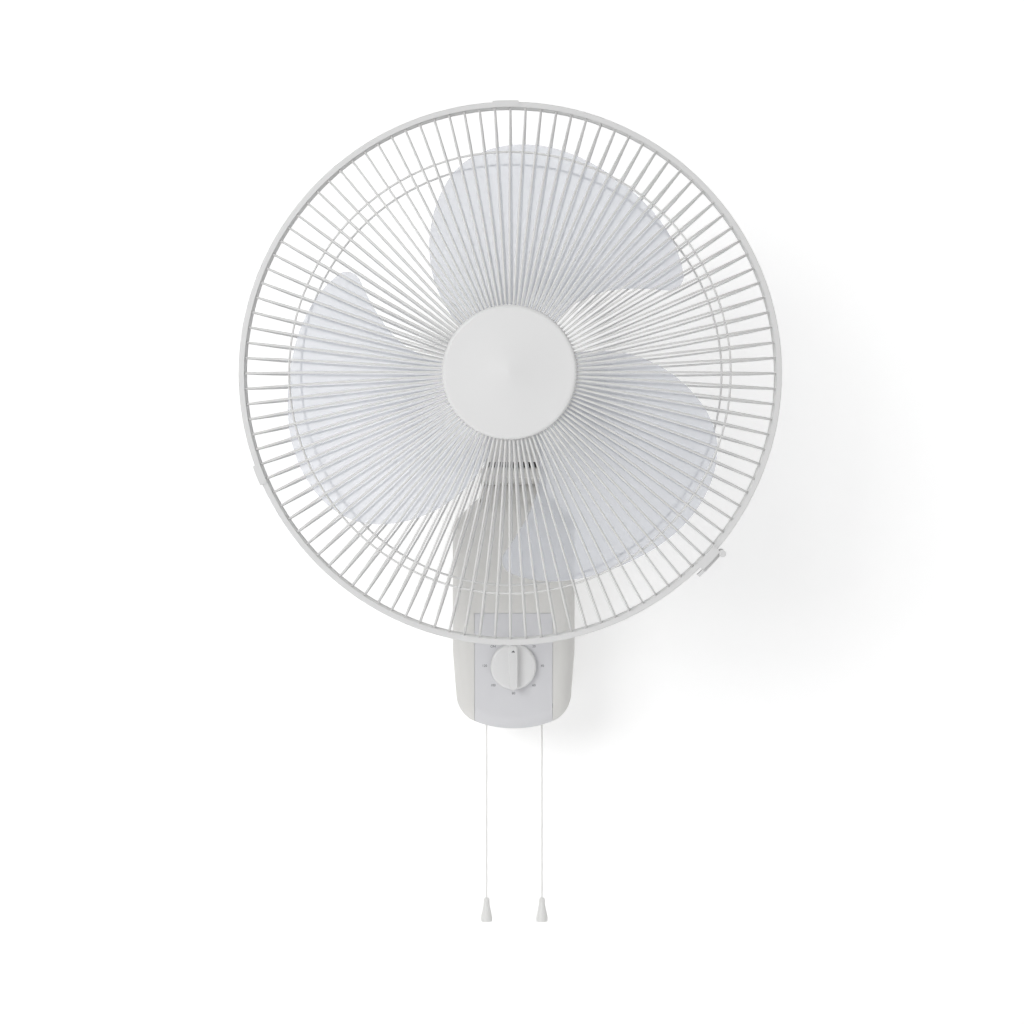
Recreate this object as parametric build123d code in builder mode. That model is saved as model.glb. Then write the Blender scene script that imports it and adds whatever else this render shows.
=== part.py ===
from build123d import *
from math import cos, pi, radians, sin, sqrt
import os

# A wall fan with a swinging head: a bottle-shaped housing hangs on a wall plate, a knuckle on top
# of it tilts, the motor head pans on the knuckle, and a caged three-blade fan turns on the motor.
#
# Frame: the origin is the centre of the wall plate's screw pattern, on the wall. +Z is up, and the
# room is towards -Y. Distances from the wall are written as positive numbers ending in _OUT, so a
# point at distance d lies at Y = -d. Units are millimetres.

# ---------------------------------------------------------------- driving sizes
# Where the main axes lie
FAN_Z = 220.0           # fan axis above the wall screws' centre
TILT_OUT = 62.0         # tilt axis
TILT_Z = 88.0
PAN_OUT = 84.0          # upright axis that the head swings about
CORD_X = 26.4           # pull cords either side of the middle
CORD_OUT = 55.0
KNOB_Z = -47.0

# General clearances
RUN = 0.05              # shaft in its bearing
GAP = 0.3               # between pieces that move past each other
SEAM = 0.25             # visible gap round a fitted panel
AIR = 0.1               # between faces that only pass near each other

# Wall plate
PLATE_HALF_X = 31.0
PLATE_HALF_Z = 46.0
PLATE_T = 2.0
WALL_SCREW_R = 2.5
WALL_SCREW_DX = 48.0
WALL_SCREW_DZ = 70.0
HOOK_X = 10.0
HOOK_W = 8.0
HOOK_Z = 31.0           # top of the tongue that the housing hangs on
HOOK_RISE = 8.0
HOOK_T = 2.5

# Housing
WALL_GAP = 1.0          # housing's rim to the wall
HOUSING_OUT = 105.0     # front face
SPLIT_OUT = 50.0        # seam between the rear and the front shell
WALL = 2.4
HALF_W = 57.0
BOTTOM_HALF = 52.4
BOTTOM_Z = -107.2
BOTTOM_R = 100.0
TAPER_Z = -33.0
SHOULDER_Z = 84.5
TOP_HALF = 33.3
TOP_Z = 107.0
CORNER_R = 28.0
SHOULDER_R = 9.0
FRONT_EDGE_R = 14.0
REAR_EDGE_R = 3.0
SEAM_GROOVE = 0.5       # chamfer of both shells along their seam
RECESS_HALF_X = 36.0    # pocket behind the housing for the wall plate and its screw heads
RECESS_HALF_Z = 52.0
RECESS_DEPTH = 7.0

# Control panel and timer
PANEL_HALF = 36.2
PANEL_TOP = 1.8
PANEL_DEPTH = 19.0
LEDGE = 2.4
KNOB_R = 21.2
KNOB_DISC_T = 7.0
KNOB_BAR_W = 8.4
KNOB_BAR_H = 9.0
KNOB_LIFT = 0.7
TIMER_SHAFT_R = 3.0
TIMER_HALF = 21.0
TIMER_DEPTH = 26.0

# Pull switches, cords and pull knobs
SWITCH_HALF = 11.0
SWITCH_BOTTOM = -92.0
SWITCH_WALL = 2.0
PLUNGER_R = 6.0
PLUNGER_T = 6.0
PULL_TRAVEL = 10.0
SPRING_R = 4.4
SPRING_WIRE_R = 0.45
SPRING_TURNS = 7
STEM_R = 1.1
STEM_BOTTOM = -103.0
CORD_R = 0.75
EYELET_R = 3.4
EYELET_BORE_R = 1.7
PULL_TOP = -274.0
PULL_H = 22.4
PULL_TOP_R = 2.7
PULL_BOTTOM_R = 5.6
PULL_BORE = 9.0

# Cable inlet
INLET_OUT = 24.0
INLET_R = 6.0
INLET_BORE_R = 3.6
INLET_DROP = 3.0

# Tilting knuckle
DRUM_R = 38.0
NECK_HALF = 30.5
NECK_TOP = 137.0
NECK_FRONT_OUT = 110.0
NECK_REAR_OUT = 58.0
NECK_LIP = 9.0
NECK_SPLIT_OUT = 72.0
NECK_EDGE_R = 4.0
NECK_CORNER_R = 8.0
NOTCH_SIDE_GAP = 0.6
NOTCH_GAP = 1.2
NOTCH_FRONT_DEG = 24.0   # where the housing's front wall ends, above the level through the tilt axis
NOTCH_REAR_DEG = 150.0
TILT_PIN_R = 4.0
YOKE_T = 2.5
EAR_T = 2.0
TILT_WASHER_T = 1.5
PIN_HEAD_T = 3.0
BRACKET_T = 3.0

# Upright post and swing drive
POST_R = 6.0
POST_TIP_R = 4.5
BOSS_R = 14.0
BELLY_HOLE_R = 17.0      # hole that the boss stands in
BOSS_H = 24.0
BUSH_WALL = 2.0
WASHER_T = 2.0
ARM_T = 3.0
ARM_W = 11.0
NUT_H = 3.5
CRANK_OFFSET = 13.0      # crank axis in front of the upright axis
SWING_DEG = 40.0
CRANK_THROW = CRANK_OFFSET * sin(radians(SWING_DEG)) / cos(radians(SWING_DEG))
CRANK_PIN_R = 2.0
CRANK_SLOT_GAP = 0.6
CRANK_T = 3.0
SWING_MOTOR_R = 25.0
SWING_MOTOR_H = 17.0

# Motor
SHAFT_R = 4.0
BELL_R = 43.0
BELL_T = 3.0
BELL_WALL = 2.5
REAR_BELL_OUT = 134.0
BELL_DEPTH = 16.0
STACK = 24.0
STATOR_BORE_R = 22.0
AIR_GAP = 0.5
BEARING_R = 8.0
FRAME_T = 5.0
BOLT_R = 1.9
BOLT_PCR = 38.0

# Motor covers
COVER_R = 57.0
COVER_WALL = 2.2
COVER_REAR_OUT = 66.0
COVER_SPLIT_OUT = 176.0
FRONT_COVER_L = 24.0
COVER_REAR_R = 24.0
COVER_FRONT_R = 8.0
BELLY_HALF = 27.0
BELLY_FRONT_OUT = 142.0
BELLY_CORNER_R = 12.0
DUST_RING_R = 25.0
DUST_RING_BORE_R = 15.0  # clear of the boss
DUST_RING_INSET = 1.0    # dust ring in from the belly's back
BELLY_GAP = 6.0          # slot between the knuckle and the head, which a dust ring fills
NOSE_R = 26.0
NOSE_L = 11.0

# Blades
BLADE_COUNT = 3
BLADE_FORWARD = 4.5      # middle of the blades in front of the hub's middle
BLADE_RISE = 44.0        # how far the trailing edge stands in front of the leading edge
BLADE_CAMBER = 6.0
BLADE_T = 2.0
HUB_R = 43.0
HUB_GAP = 44.0           # motor cover to the hub
HUB_L = 61.0
HUB_WALL = 2.5
HUB_BOSS_R = 10.0
LEADING_EDGE = [(40.0, 48.5), (67.0, 49.0), (90.0, 45.6), (118.0, 37.6), (163.0, 25.2)]
TRAILING_EDGE = [(163.0, 25.2), (177.0, 38.5), (187.5, 62.0), (193.5, 84.0), (180.0, 103.0),
                 (149.5, 115.2), (106.0, 127.8), (66.0, 136.0), (40.0, 138.0)]
HORN_R = 12.0
EDGE_SPARE = 14.0        # how far the sheet that a blade is cut from runs on past its outline
BLADE_NUT_R = 15.0
BLADE_NUT_H = 13.0

# Guards
WIRE_R = 0.9
WIRES = 108
RING_R = 181.0           # thin ring wire of each guard
RING_WIRE_R = 0.9
RIM_WIRE_R = 2.0
HOOP_HALF = 7.0
HOOP_R = 226.0
HOOP_LIP = 4.6
HOOP_T = 1.8
PLATE_R = 47.0           # rear guard's middle plate
PLATE_LIP_T = 2.4
NUT_R = 38.0
NUT_L = 8.0
REAR_DEPTH = 90.0        # motor cover to the hoop's middle
FRONT_DEPTH = 48.0       # hoop's middle to the flat of the front guard
FRONT_SPOTS = [(46.0, 96.0), (29.0, 38.0), (15.0, 12.5)]   # bends: before the hoop, in from its outside
FRONT_BENDS = [160.0, 60.0, 14.0]
REAR_SPOTS = [(-77.0, 76.0), (-38.0, 23.0)]
REAR_BENDS = [55.0, 45.0]
WIRE_SINK = 5.0          # rear wires' inner ends, in from the edge of the plate
WIRE_END_IN = 1.0        # wires' outer ends, in from the middle of the rim wires
WIRE_PAST = 2.5          # front wires' inner ends, in from the middle of the inner ring
INNER_RING_WIRE_R = 1.2

# Middle cap of the front guard
CAP_R = 54.7
CAP_RISE = 10.0          # cap in front of the flat of the guard
CAP_CROWN = 4.4
CAP_WALL = 2.0
CAP_EDGE_R = 3.0
CAP_BOSS_R = 6.0
CAP_PLATE_R = 50.0
CAP_PLATE_LAP = 3.0      # cap plate past the inner ring of the guard
CAP_PLATE_T = 2.5

# Clips on the hoop, by their angle anticlockwise from +X as seen from the room
TOP_CLIP_DEG = 91.0
TOP_CLIP_L = 22.0
SIDE_CLIP_DEG = 202.0
SIDE_CLIP_L = 17.0
CLIP_T = 1.0
SIDE_CLIP_T = 1.6
LATCH_DEG = 317.0
LATCH_L = 21.0
LATCH_T = 2.6
LEVER_T = 2.6
LEVER_PIN_R = 1.5
HOOP_SPLIT = 1.5

# ---------------------------------------------------------------- worked-out places
SCREEN = Plane(origin=(0, 0, FAN_Z), x_dir=(0, -1, 0), z_dir=(-1, 0, 0))  # x outwards, y radius
SIDE = Plane(origin=(0, 0, 0), x_dir=(0, -1, 0), z_dir=(-1, 0, 0))        # x outwards, y up
FAN_AXIS = Axis((0, 0, FAN_Z), (0, -1, 0))
RECESS_FLOOR_OUT = WALL_GAP + RECESS_DEPTH
INNER_BACK_OUT = RECESS_FLOOR_OUT + WALL
PANEL_BACK_OUT = HOUSING_OUT - WALL
NOTCH_HALF = NECK_HALF + NOTCH_SIDE_GAP
EAR_OUTER = NOTCH_HALF + EAR_T
YOKE_IN = EAR_OUTER + 0.9
YOKE_OUT = YOKE_IN + YOKE_T
PIN_END = YOKE_OUT + TILT_WASHER_T + PIN_HEAD_T
SPRING_FLOOR = SWITCH_BOTTOM + SWITCH_WALL
PLUNGER_BOTTOM = SPRING_FLOOR + 2.4 * PULL_TRAVEL
PLUNGER_TOP = PLUNGER_BOTTOM + PLUNGER_T
SWITCH_CEILING = PLUNGER_TOP + GAP
NECK_INSIDE_TOP = NECK_TOP - WALL
BOSS_BOTTOM = NECK_TOP + WASHER_T + AIR
BOSS_TOP = BOSS_BOTTOM + BOSS_H
ARM_Z = BOSS_TOP + AIR + WASHER_T
CRANK_OUT = PAN_OUT + CRANK_OFFSET
CRANK_Z = ARM_Z + ARM_T + NUT_H + 1.0
SWING_MOTOR_Z = CRANK_Z + CRANK_T + 2.4
BELLY_Z = NECK_TOP + BELLY_GAP
STACK_OUT = REAR_BELL_OUT + BELL_DEPTH
FRONT_BELL_OUT = STACK_OUT + STACK
BELL_FRONT_OUT = FRONT_BELL_OUT + BELL_DEPTH
COVER_FRONT_OUT = COVER_SPLIT_OUT + FRONT_COVER_L
NOSE_OUT = COVER_FRONT_OUT + NOSE_L
HUB_REAR_OUT = COVER_FRONT_OUT + HUB_GAP
HUB_FRONT_OUT = HUB_REAR_OUT + HUB_L
BLADE_OUT = HUB_REAR_OUT + HUB_L / 2 + BLADE_FORWARD
HOOP_OUT = COVER_FRONT_OUT + REAR_DEPTH
HOOP_INNER = HOOP_R - HOOP_LIP
RIM_R = HOOP_R - HOOP_T - RIM_WIRE_R
RIM_SHIFT = HOOP_HALF - HOOP_T - RIM_WIRE_R     # each rim wire lies in a corner of the hoop
INNER_RING_R = CAP_PLATE_R - CAP_PLATE_LAP
FRONT_WIRE = [
    (HOOP_OUT + FRONT_DEPTH, INNER_RING_R - WIRE_PAST),
    *[(HOOP_OUT + out, HOOP_R - inset) for out, inset in FRONT_SPOTS],
    (HOOP_OUT + RIM_SHIFT, RIM_R - WIRE_END_IN),
]
REAR_WIRE = [
    (COVER_FRONT_OUT + PLATE_LIP_T + WIRE_R - GAP, PLATE_R - WIRE_SINK),
    *[(HOOP_OUT + out, HOOP_R - inset) for out, inset in REAR_SPOTS],
    (HOOP_OUT - RIM_SHIFT, RIM_R - WIRE_END_IN),
]
CAP_FRONT_OUT = HOOP_OUT + FRONT_DEPTH + CAP_RISE
LEVER_R = HOOP_R + LATCH_T


# ---------------------------------------------------------------- helpers
def facing(out):
    """A plane parallel to the wall at this distance; x is +X, y is +Z and it faces the room."""
    return Plane(origin=(0, -out, 0), x_dir=(1, 0, 0), z_dir=(0, -1, 0))


def block(x, out, z, mode=Mode.ADD):
    """A box between two X, two distances from the wall and two heights."""
    with Locations(((x[0] + x[1]) / 2, -(out[0] + out[1]) / 2, (z[0] + z[1]) / 2)):
        Box(abs(x[1] - x[0]), abs(out[1] - out[0]), abs(z[1] - z[0]), mode=mode)


def rod_x(out, z, radius, span, mode=Mode.ADD):
    """A round rod along X."""
    with Locations(Location(((span[0] + span[1]) / 2, -out, z), (0, 90, 0))):
        Cylinder(radius, span[1] - span[0], mode=mode)


def rod_out(x, z, radius, span, mode=Mode.ADD):
    """A round rod at right angles to the wall."""
    with Locations(Location((x, -(span[0] + span[1]) / 2, z), (90, 0, 0))):
        Cylinder(radius, span[1] - span[0], mode=mode)


def rod_z(x, out, radius, span, mode=Mode.ADD):
    """An upright round rod."""
    with Locations((x, -out, (span[0] + span[1]) / 2)):
        Cylinder(radius, span[1] - span[0], mode=mode)


def turned(profile, rounds=(), mode=Mode.ADD, arc=360.0):
    """A piece turned about the fan axis from (distance from the wall, radius) points.

    rounds pairs the number of a corner with the radius that it is rounded to.
    """
    sizes = dict(rounds)
    with BuildSketch(SCREEN) as section:
        with BuildLine():
            Polyline(*profile, close=True)
        make_face()
        for corner, radius in sizes.items():
            out, up = profile[corner]
            spot = section.vertices().sort_by_distance(Vector(out, up, 0))[0]
            fillet(spot, radius)
    revolve(section.sketch, FAN_AXIS, arc, mode=mode)


def ring(out, radius, mode=Mode.ADD):
    """A plain ring about the fan axis between two distances and two radii."""
    corners = [(out[0], radius[0]), (out[1], radius[0]), (out[1], radius[1]), (out[0], radius[1])]
    turned(corners, mode=mode)


def housing_outline(plane, inset=0.0):
    """The bottle shape of the housing, seen from the room."""
    corner_z = BOTTOM_Z + BOTTOM_R - sqrt(BOTTOM_R**2 - BOTTOM_HALF**2)
    right = [(BOTTOM_HALF, corner_z), (HALF_W, TAPER_Z), (HALF_W, SHOULDER_Z), (TOP_HALF, TOP_Z)]
    left = [(-x, z) for x, z in reversed(right)]
    with BuildSketch(plane) as outline:
        with BuildLine():
            Polyline(*right, *left)
            ThreePointArc(left[-1], (0, BOTTOM_Z), right[0])
        make_face()
        fillet(outline.vertices().group_by(Axis.Y)[0], CORNER_R)
        fillet(outline.vertices().filter_by_position(Axis.Y, SHOULDER_Z - 1, SHOULDER_Z + 1), SHOULDER_R)
        if inset:
            offset(amount=-inset)
    return outline.sketch


def housing_block(out, inset, edge_r, edge_out):
    """The housing's outline as a solid block with one rounded end and one grooved end."""
    with BuildPart() as shape:
        extrude(housing_outline(facing(out[0]), inset), out[1] - out[0])
        end = shape.edges().filter_by_position(Axis.Y, -edge_out - 0.01, -edge_out + 0.01)
        fillet(end, edge_r)
        seam_out = out[0] + out[1] - edge_out
        seam = shape.edges().filter_by_position(Axis.Y, -seam_out - 0.01, -seam_out + 0.01)
        chamfer(seam, SEAM_GROOVE)
    return shape.part


def notch_cut():
    """Room for the knuckle: its drum, and the sector that its neck tilts through."""
    reach = 3 * DRUM_R
    angles = [NOTCH_FRONT_DEG, 55.0, 90.0, 120.0, NOTCH_REAR_DEG]
    rim = [(TILT_OUT + reach * cos(radians(a)), TILT_Z + reach * sin(radians(a))) for a in angles]
    with BuildPart() as cut:
        with BuildSketch(SIDE) as sector:
            with BuildLine():
                Polyline((TILT_OUT, TILT_Z), *rim, close=True)
            make_face()
            with Locations((TILT_OUT, TILT_Z)):
                Circle(DRUM_R + NOTCH_GAP)
        extrude(amount=NOTCH_HALF, both=True)
    return cut.part


def ear_walls(out):
    """The housing's two inner walls beside the knuckle."""
    with BuildPart() as ears:
        for side in (-1, 1):
            block((side * NOTCH_HALF, side * EAR_OUTER), out, (TILT_Z - 33, TOP_Z + 1))
        rod_x(TILT_OUT, TILT_Z, TILT_PIN_R + 1, (-EAR_OUTER - 1, EAR_OUTER + 1), mode=Mode.SUBTRACT)
    return ears.part


def along(points, radius):
    """The (distance, radius) point where a guard wire's straight run passes this radius."""
    for (out_a, r_a), (out_b, r_b) in zip(points, points[1:]):
        if r_a <= radius <= r_b:
            share = (radius - r_a) / (r_b - r_a)
            return out_a + share * (out_b - out_a), Vector(out_b - out_a, r_b - r_a).normalized()


def guard_wire(points, bends):
    """One radial wire of a guard, at the top of the guard."""
    with BuildPart() as wire:
        with BuildLine(SCREEN) as path:
            FilletPolyline(*points, radius=bends)
        with BuildSketch(Plane(path.line @ 0, x_dir=(1, 0, 0), z_dir=path.line % 0)):
            Circle(WIRE_R)
        sweep(path=path.line)
    return wire.part


def torus(out, radius, wire_r):
    """A ring of round wire about the fan axis, whose seam lies halfway between two radial wires."""
    with Locations(Location((0, -out, FAN_Z), (90, 0, 180 / WIRES))):
        Torus(radius, wire_r)


def weld_ring(points, side):
    """The thin ring welded to a guard's wires, on the side given as +1 (room) or -1 (wall)."""
    out, run = along(points, RING_R)
    sink = WIRE_R + RING_WIRE_R - 0.3
    torus(out + side * sink / abs(run.Y), RING_R, RING_WIRE_R)


def saddle(angle, length, thickness):
    """A clip that wraps the hoop's outside over this length, with its middle at this angle."""
    span = degrees_of(length)
    low, high = HOOP_OUT - HOOP_HALF, HOOP_OUT + HOOP_HALF
    profile = [
        (low, HOOP_INNER), (low - thickness, HOOP_INNER), (low - thickness, HOOP_R + thickness),
        (high + thickness, HOOP_R + thickness), (high + thickness, HOOP_INNER), (high, HOOP_INNER),
        (high, HOOP_R), (low, HOOP_R),
    ]
    with BuildPart() as clip:
        turned(profile, arc=span)
    return clip.part.rotate(FAN_AXIS, angle - 90 - span / 2)


def degrees_of(length, radius=HOOP_R):
    """The angle that a length takes up round the hoop."""
    return length / radius * 180 / pi


def switch_case(x):
    """A pull switch: a box with a bore for the plunger and its spring."""
    top = SWITCH_CEILING + SWITCH_WALL
    with BuildPart() as case:
        block((x - SWITCH_HALF, x + SWITCH_HALF), (CORD_OUT - SWITCH_HALF, CORD_OUT + SWITCH_HALF),
              (SWITCH_BOTTOM, top))
        chamfer(case.edges().filter_by(Axis.Z), 1.5)
        rod_z(x, CORD_OUT, PLUNGER_R + GAP, (SPRING_FLOOR, SWITCH_CEILING), mode=Mode.SUBTRACT)
        rod_z(x, CORD_OUT, EYELET_BORE_R, (SWITCH_BOTTOM, SPRING_FLOOR), mode=Mode.SUBTRACT)
        for row in (-6, 6):
            block((x - 9, x - 7), (CORD_OUT + row - 1, CORD_OUT + row + 1), (top, top + 5))
    return case


def plunger(x):
    """The switch's plunger and its stem, which the cord pulls down against the spring."""
    with BuildPart() as slug:
        rod_z(x, CORD_OUT, PLUNGER_R, (PLUNGER_BOTTOM, PLUNGER_TOP))
        chamfer(slug.edges().group_by(Axis.Z)[-1], 1)
        rod_z(x, CORD_OUT, STEM_R, (STEM_BOTTOM, PLUNGER_BOTTOM))
    return slug


def return_spring(x):
    """A compression spring between the switch's floor and the plunger."""
    floor, height = SPRING_FLOOR + SPRING_WIRE_R, PLUNGER_BOTTOM - SPRING_FLOOR - 2 * SPRING_WIRE_R
    with BuildPart() as spring:
        with BuildLine() as coil:
            Helix(height / SPRING_TURNS, height, SPRING_R, center=(x, -CORD_OUT, floor))
        with BuildSketch(Plane(coil.line @ 0, z_dir=coil.line % 0)):
            Circle(SPRING_WIRE_R)
        sweep(path=coil.line, is_frenet=True)
    return spring


def pull_cord(x):
    """The straight cord from the stem's end in the eyelet down into the pull knob."""
    with BuildPart() as cord:
        rod_z(x, CORD_OUT, CORD_R, (PULL_TOP - PULL_BORE, STEM_BOTTOM))
    return cord


def pull_knob(x):
    """The small tapered weight on a cord's end."""
    with BuildPart() as knob:
        with BuildSketch(Plane(origin=(x, -CORD_OUT, PULL_TOP), x_dir=(1, 0, 0), z_dir=(0, -1, 0))) as half:
            with BuildLine():
                Polyline((0, 0), (PULL_TOP_R, 0), (PULL_TOP_R + 0.3, -0.3 * PULL_H),
                         (PULL_BOTTOM_R, -PULL_H + 3), (PULL_BOTTOM_R - 0.3, -PULL_H),
                         (0, -PULL_H), close=True)
            make_face()
            rim = half.vertices().group_by(Axis.Y)
            fillet(rim[-1].sort_by(Axis.X)[-1], 2.0)
            fillet(rim[0].sort_by(Axis.X)[-1], 1.2)
        revolve(axis=Axis((x, -CORD_OUT, 0), (0, 0, 1)))
        rod_z(x, CORD_OUT, CORD_R, (PULL_TOP - PULL_BORE, PULL_TOP + 1), mode=Mode.SUBTRACT)
    return knob


# ---------------------------------------------------------------- wall unit
with BuildPart() as wall_plate:
    block((-PLATE_HALF_X, PLATE_HALF_X), (0, PLATE_T), (-PLATE_HALF_Z, PLATE_HALF_Z))
    fillet(wall_plate.edges().filter_by(Axis.Y), 5)
    with Locations(facing(PLATE_T)):
        with GridLocations(WALL_SCREW_DX, WALL_SCREW_DZ, 2, 2):
            Hole(WALL_SCREW_R)
    hook_end = INNER_BACK_OUT + 0.6
    for side in (-1, 1):
        hook_x = (side * HOOK_X - HOOK_W / 2, side * HOOK_X + HOOK_W / 2)
        block(hook_x, (0, hook_end + HOOK_T), (HOOK_Z - HOOK_T, HOOK_Z))
        block(hook_x, (hook_end, hook_end + HOOK_T), (HOOK_Z - HOOK_T, HOOK_Z + HOOK_RISE))

SCREW_SPOTS = [(-46.0, 58.0), (46.0, 58.0), (-44.5, -66.0), (44.5, -66.0)]
SCREW_BOSS_R = 4.5
SCREW_R = 1.6
SCREW_HEAD_R = 3.1
SCREW_HEAD_T = 2.4
SCREW_SEAT_OUT = 32.0
SCREW_TIP_OUT = 66.0


def rear_hollow():
    """The room inside the rear housing, round its recess, inner walls and screw bosses."""
    with BuildPart() as hollow:
        extrude(housing_outline(facing(WALL_GAP + WALL), WALL), SPLIT_OUT - WALL_GAP)
        block((-RECESS_HALF_X - WALL, RECESS_HALF_X + WALL), (0, INNER_BACK_OUT),
              (-RECESS_HALF_Z - WALL, RECESS_HALF_Z + WALL), mode=Mode.SUBTRACT)
        add(ear_walls((INNER_BACK_OUT + YOKE_T + GAP, SPLIT_OUT + 2)), mode=Mode.SUBTRACT)
        for spot in SCREW_SPOTS:
            rod_out(*spot, SCREW_BOSS_R, (0, SPLIT_OUT + 2), mode=Mode.SUBTRACT)
        for side in (-1, 1):
            rod_out(side * CORD_X, SWITCH_BOTTOM + SWITCH_HALF, SCREW_BOSS_R, (0, CORD_OUT - SWITCH_HALF),
                    mode=Mode.SUBTRACT)
    return hollow.part


def front_hollow():
    """The room inside the front shell, round its inner walls and screw bosses."""
    inner_out = HOUSING_OUT - WALL
    with BuildPart() as hollow:
        add(housing_block((SPLIT_OUT - 1, inner_out), WALL, FRONT_EDGE_R - WALL, inner_out))
        add(ear_walls((SPLIT_OUT - 2, HOUSING_OUT)), mode=Mode.SUBTRACT)
        for spot in SCREW_SPOTS:
            rod_out(*spot, SCREW_BOSS_R, (SPLIT_OUT - 2, HOUSING_OUT), mode=Mode.SUBTRACT)
    return hollow.part


with BuildPart() as rear_housing:
    add(housing_block((WALL_GAP, SPLIT_OUT), 0.0, REAR_EDGE_R, WALL_GAP))
    add(rear_hollow(), mode=Mode.SUBTRACT)
    block((-RECESS_HALF_X, RECESS_HALF_X), (0, RECESS_FLOOR_OUT), (-RECESS_HALF_Z, RECESS_HALF_Z),
          mode=Mode.SUBTRACT)
    for side in (-1, 1):
        block((side * HOOK_X - HOOK_W / 2 - 0.5, side * HOOK_X + HOOK_W / 2 + 0.5),
              (RECESS_FLOOR_OUT - 1, INNER_BACK_OUT + 1), (HOOK_Z - HOOK_RISE - HOOK_T - 5, HOOK_Z),
              mode=Mode.SUBTRACT)
    for spot in SCREW_SPOTS:
        rod_out(*spot, SCREW_R + 0.2, (0, SPLIT_OUT + 1), mode=Mode.SUBTRACT)
        rod_out(*spot, SCREW_HEAD_R + 0.2, (0, SCREW_SEAT_OUT), mode=Mode.SUBTRACT)
    rod_z(0, INLET_OUT, INLET_R, (BOTTOM_Z - 2, BOTTOM_Z + WALL + 2), mode=Mode.SUBTRACT)
    add(notch_cut(), mode=Mode.SUBTRACT)

# The front shell and the panel are cut from one skin, so the panel carries its curve on.
with BuildPart() as front_skin:
    add(housing_block((SPLIT_OUT, HOUSING_OUT), 0.0, FRONT_EDGE_R, HOUSING_OUT))
    add(front_hollow(), mode=Mode.SUBTRACT)
    add(notch_cut(), mode=Mode.SUBTRACT)

panel_out = (HOUSING_OUT - PANEL_DEPTH, HOUSING_OUT + 1)
with BuildPart() as front_housing:
    add(front_skin.part)
    block((-PANEL_HALF - SEAM, PANEL_HALF + SEAM), panel_out, (BOTTOM_Z - 5, PANEL_TOP + SEAM),
          mode=Mode.SUBTRACT)
    for side in (-1, 1):
        block((side * (PANEL_HALF - LEDGE), side * (PANEL_HALF + LEDGE)),
              (PANEL_BACK_OUT - LEDGE, PANEL_BACK_OUT), (BOTTOM_Z + 25, PANEL_TOP + LEDGE))
    block((-PANEL_HALF, PANEL_HALF), (PANEL_BACK_OUT - LEDGE, PANEL_BACK_OUT),
          (PANEL_TOP - LEDGE, PANEL_TOP + LEDGE))
    for spot in SCREW_SPOTS:
        rod_out(*spot, SCREW_R, (SPLIT_OUT - 1, SCREW_TIP_OUT + 1), mode=Mode.SUBTRACT)
    for side in (-1, 1):
        rod_z(side * CORD_X, CORD_OUT, EYELET_R, (BOTTOM_Z - 2, BOTTOM_Z + 9), mode=Mode.SUBTRACT)

with BuildPart() as control_panel:
    add(front_skin.part)
    block((-PANEL_HALF, PANEL_HALF), panel_out, (BOTTOM_Z - 5, PANEL_TOP), mode=Mode.INTERSECT)
    rod_out(0, KNOB_Z, TIMER_SHAFT_R + 1, (PANEL_BACK_OUT - 1, HOUSING_OUT + 1), mode=Mode.SUBTRACT)

with BuildPart() as housing_screws:
    for spot in SCREW_SPOTS:
        rod_out(*spot, SCREW_HEAD_R, (SCREW_SEAT_OUT - SCREW_HEAD_T, SCREW_SEAT_OUT))
        rod_out(*spot, SCREW_R, (SCREW_SEAT_OUT - SCREW_HEAD_T / 2, SCREW_TIP_OUT))

with BuildPart() as tilt_yoke:
    block((-YOKE_OUT, YOKE_OUT), (INNER_BACK_OUT, INNER_BACK_OUT + YOKE_T), (TILT_Z - 32, TILT_Z + 8))
    for side in (-1, 1):
        block((side * YOKE_IN, side * YOKE_OUT), (INNER_BACK_OUT, TILT_OUT), (TILT_Z - 16, TILT_Z + 8))
    rod_x(TILT_OUT, TILT_Z, 8, (-YOKE_OUT, -YOKE_IN))
    rod_x(TILT_OUT, TILT_Z, 8, (YOKE_IN, YOKE_OUT))
    rod_x(TILT_OUT, TILT_Z, TILT_PIN_R + RUN, (-YOKE_OUT - 1, YOKE_OUT + 1), mode=Mode.SUBTRACT)

timer_back = PANEL_BACK_OUT - TIMER_DEPTH
with BuildPart() as timer_case:
    block((-TIMER_HALF, TIMER_HALF), (timer_back, PANEL_BACK_OUT), (KNOB_Z - TIMER_HALF, KNOB_Z + TIMER_HALF))
    chamfer(timer_case.edges().filter_by(Axis.Y), 3)
    rod_out(0, KNOB_Z, TIMER_SHAFT_R + RUN, (timer_back + 8, PANEL_BACK_OUT + 1), mode=Mode.SUBTRACT)
    for row in (-10, 0, 10):
        block((TIMER_HALF, TIMER_HALF + 6), (timer_back + 4, timer_back + 5),
              (KNOB_Z + row - 3, KNOB_Z + row + 3))

speed_switch = switch_case(-CORD_X)
swing_switch = switch_case(CORD_X)

with BuildPart() as cord_eyelets:
    for side in (-1, 1):
        x, low = side * CORD_X, BOTTOM_Z - 0.6
        inner_z = BOTTOM_Z + BOTTOM_R - sqrt(BOTTOM_R**2 - (CORD_X + 5) ** 2) + WALL + 0.6
        rod_z(x, CORD_OUT, EYELET_R, (low, inner_z + 1.5))
        rod_z(x, CORD_OUT, EYELET_R + 1.6, (inner_z, inner_z + 1.5))
        rod_z(x, CORD_OUT, EYELET_BORE_R, (low - 1, inner_z + 2), mode=Mode.SUBTRACT)
    fillet(cord_eyelets.edges().group_by(Axis.Z)[0], 0.6)

with BuildPart() as terminal_block:
    block((-32, -2), (INNER_BACK_OUT, INNER_BACK_OUT + 12), (-32, -20))
    for row in range(4):
        rod_out(-28 + 7.5 * row, -26, 2.2, (INNER_BACK_OUT + 5, INNER_BACK_OUT + 13), mode=Mode.SUBTRACT)

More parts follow.
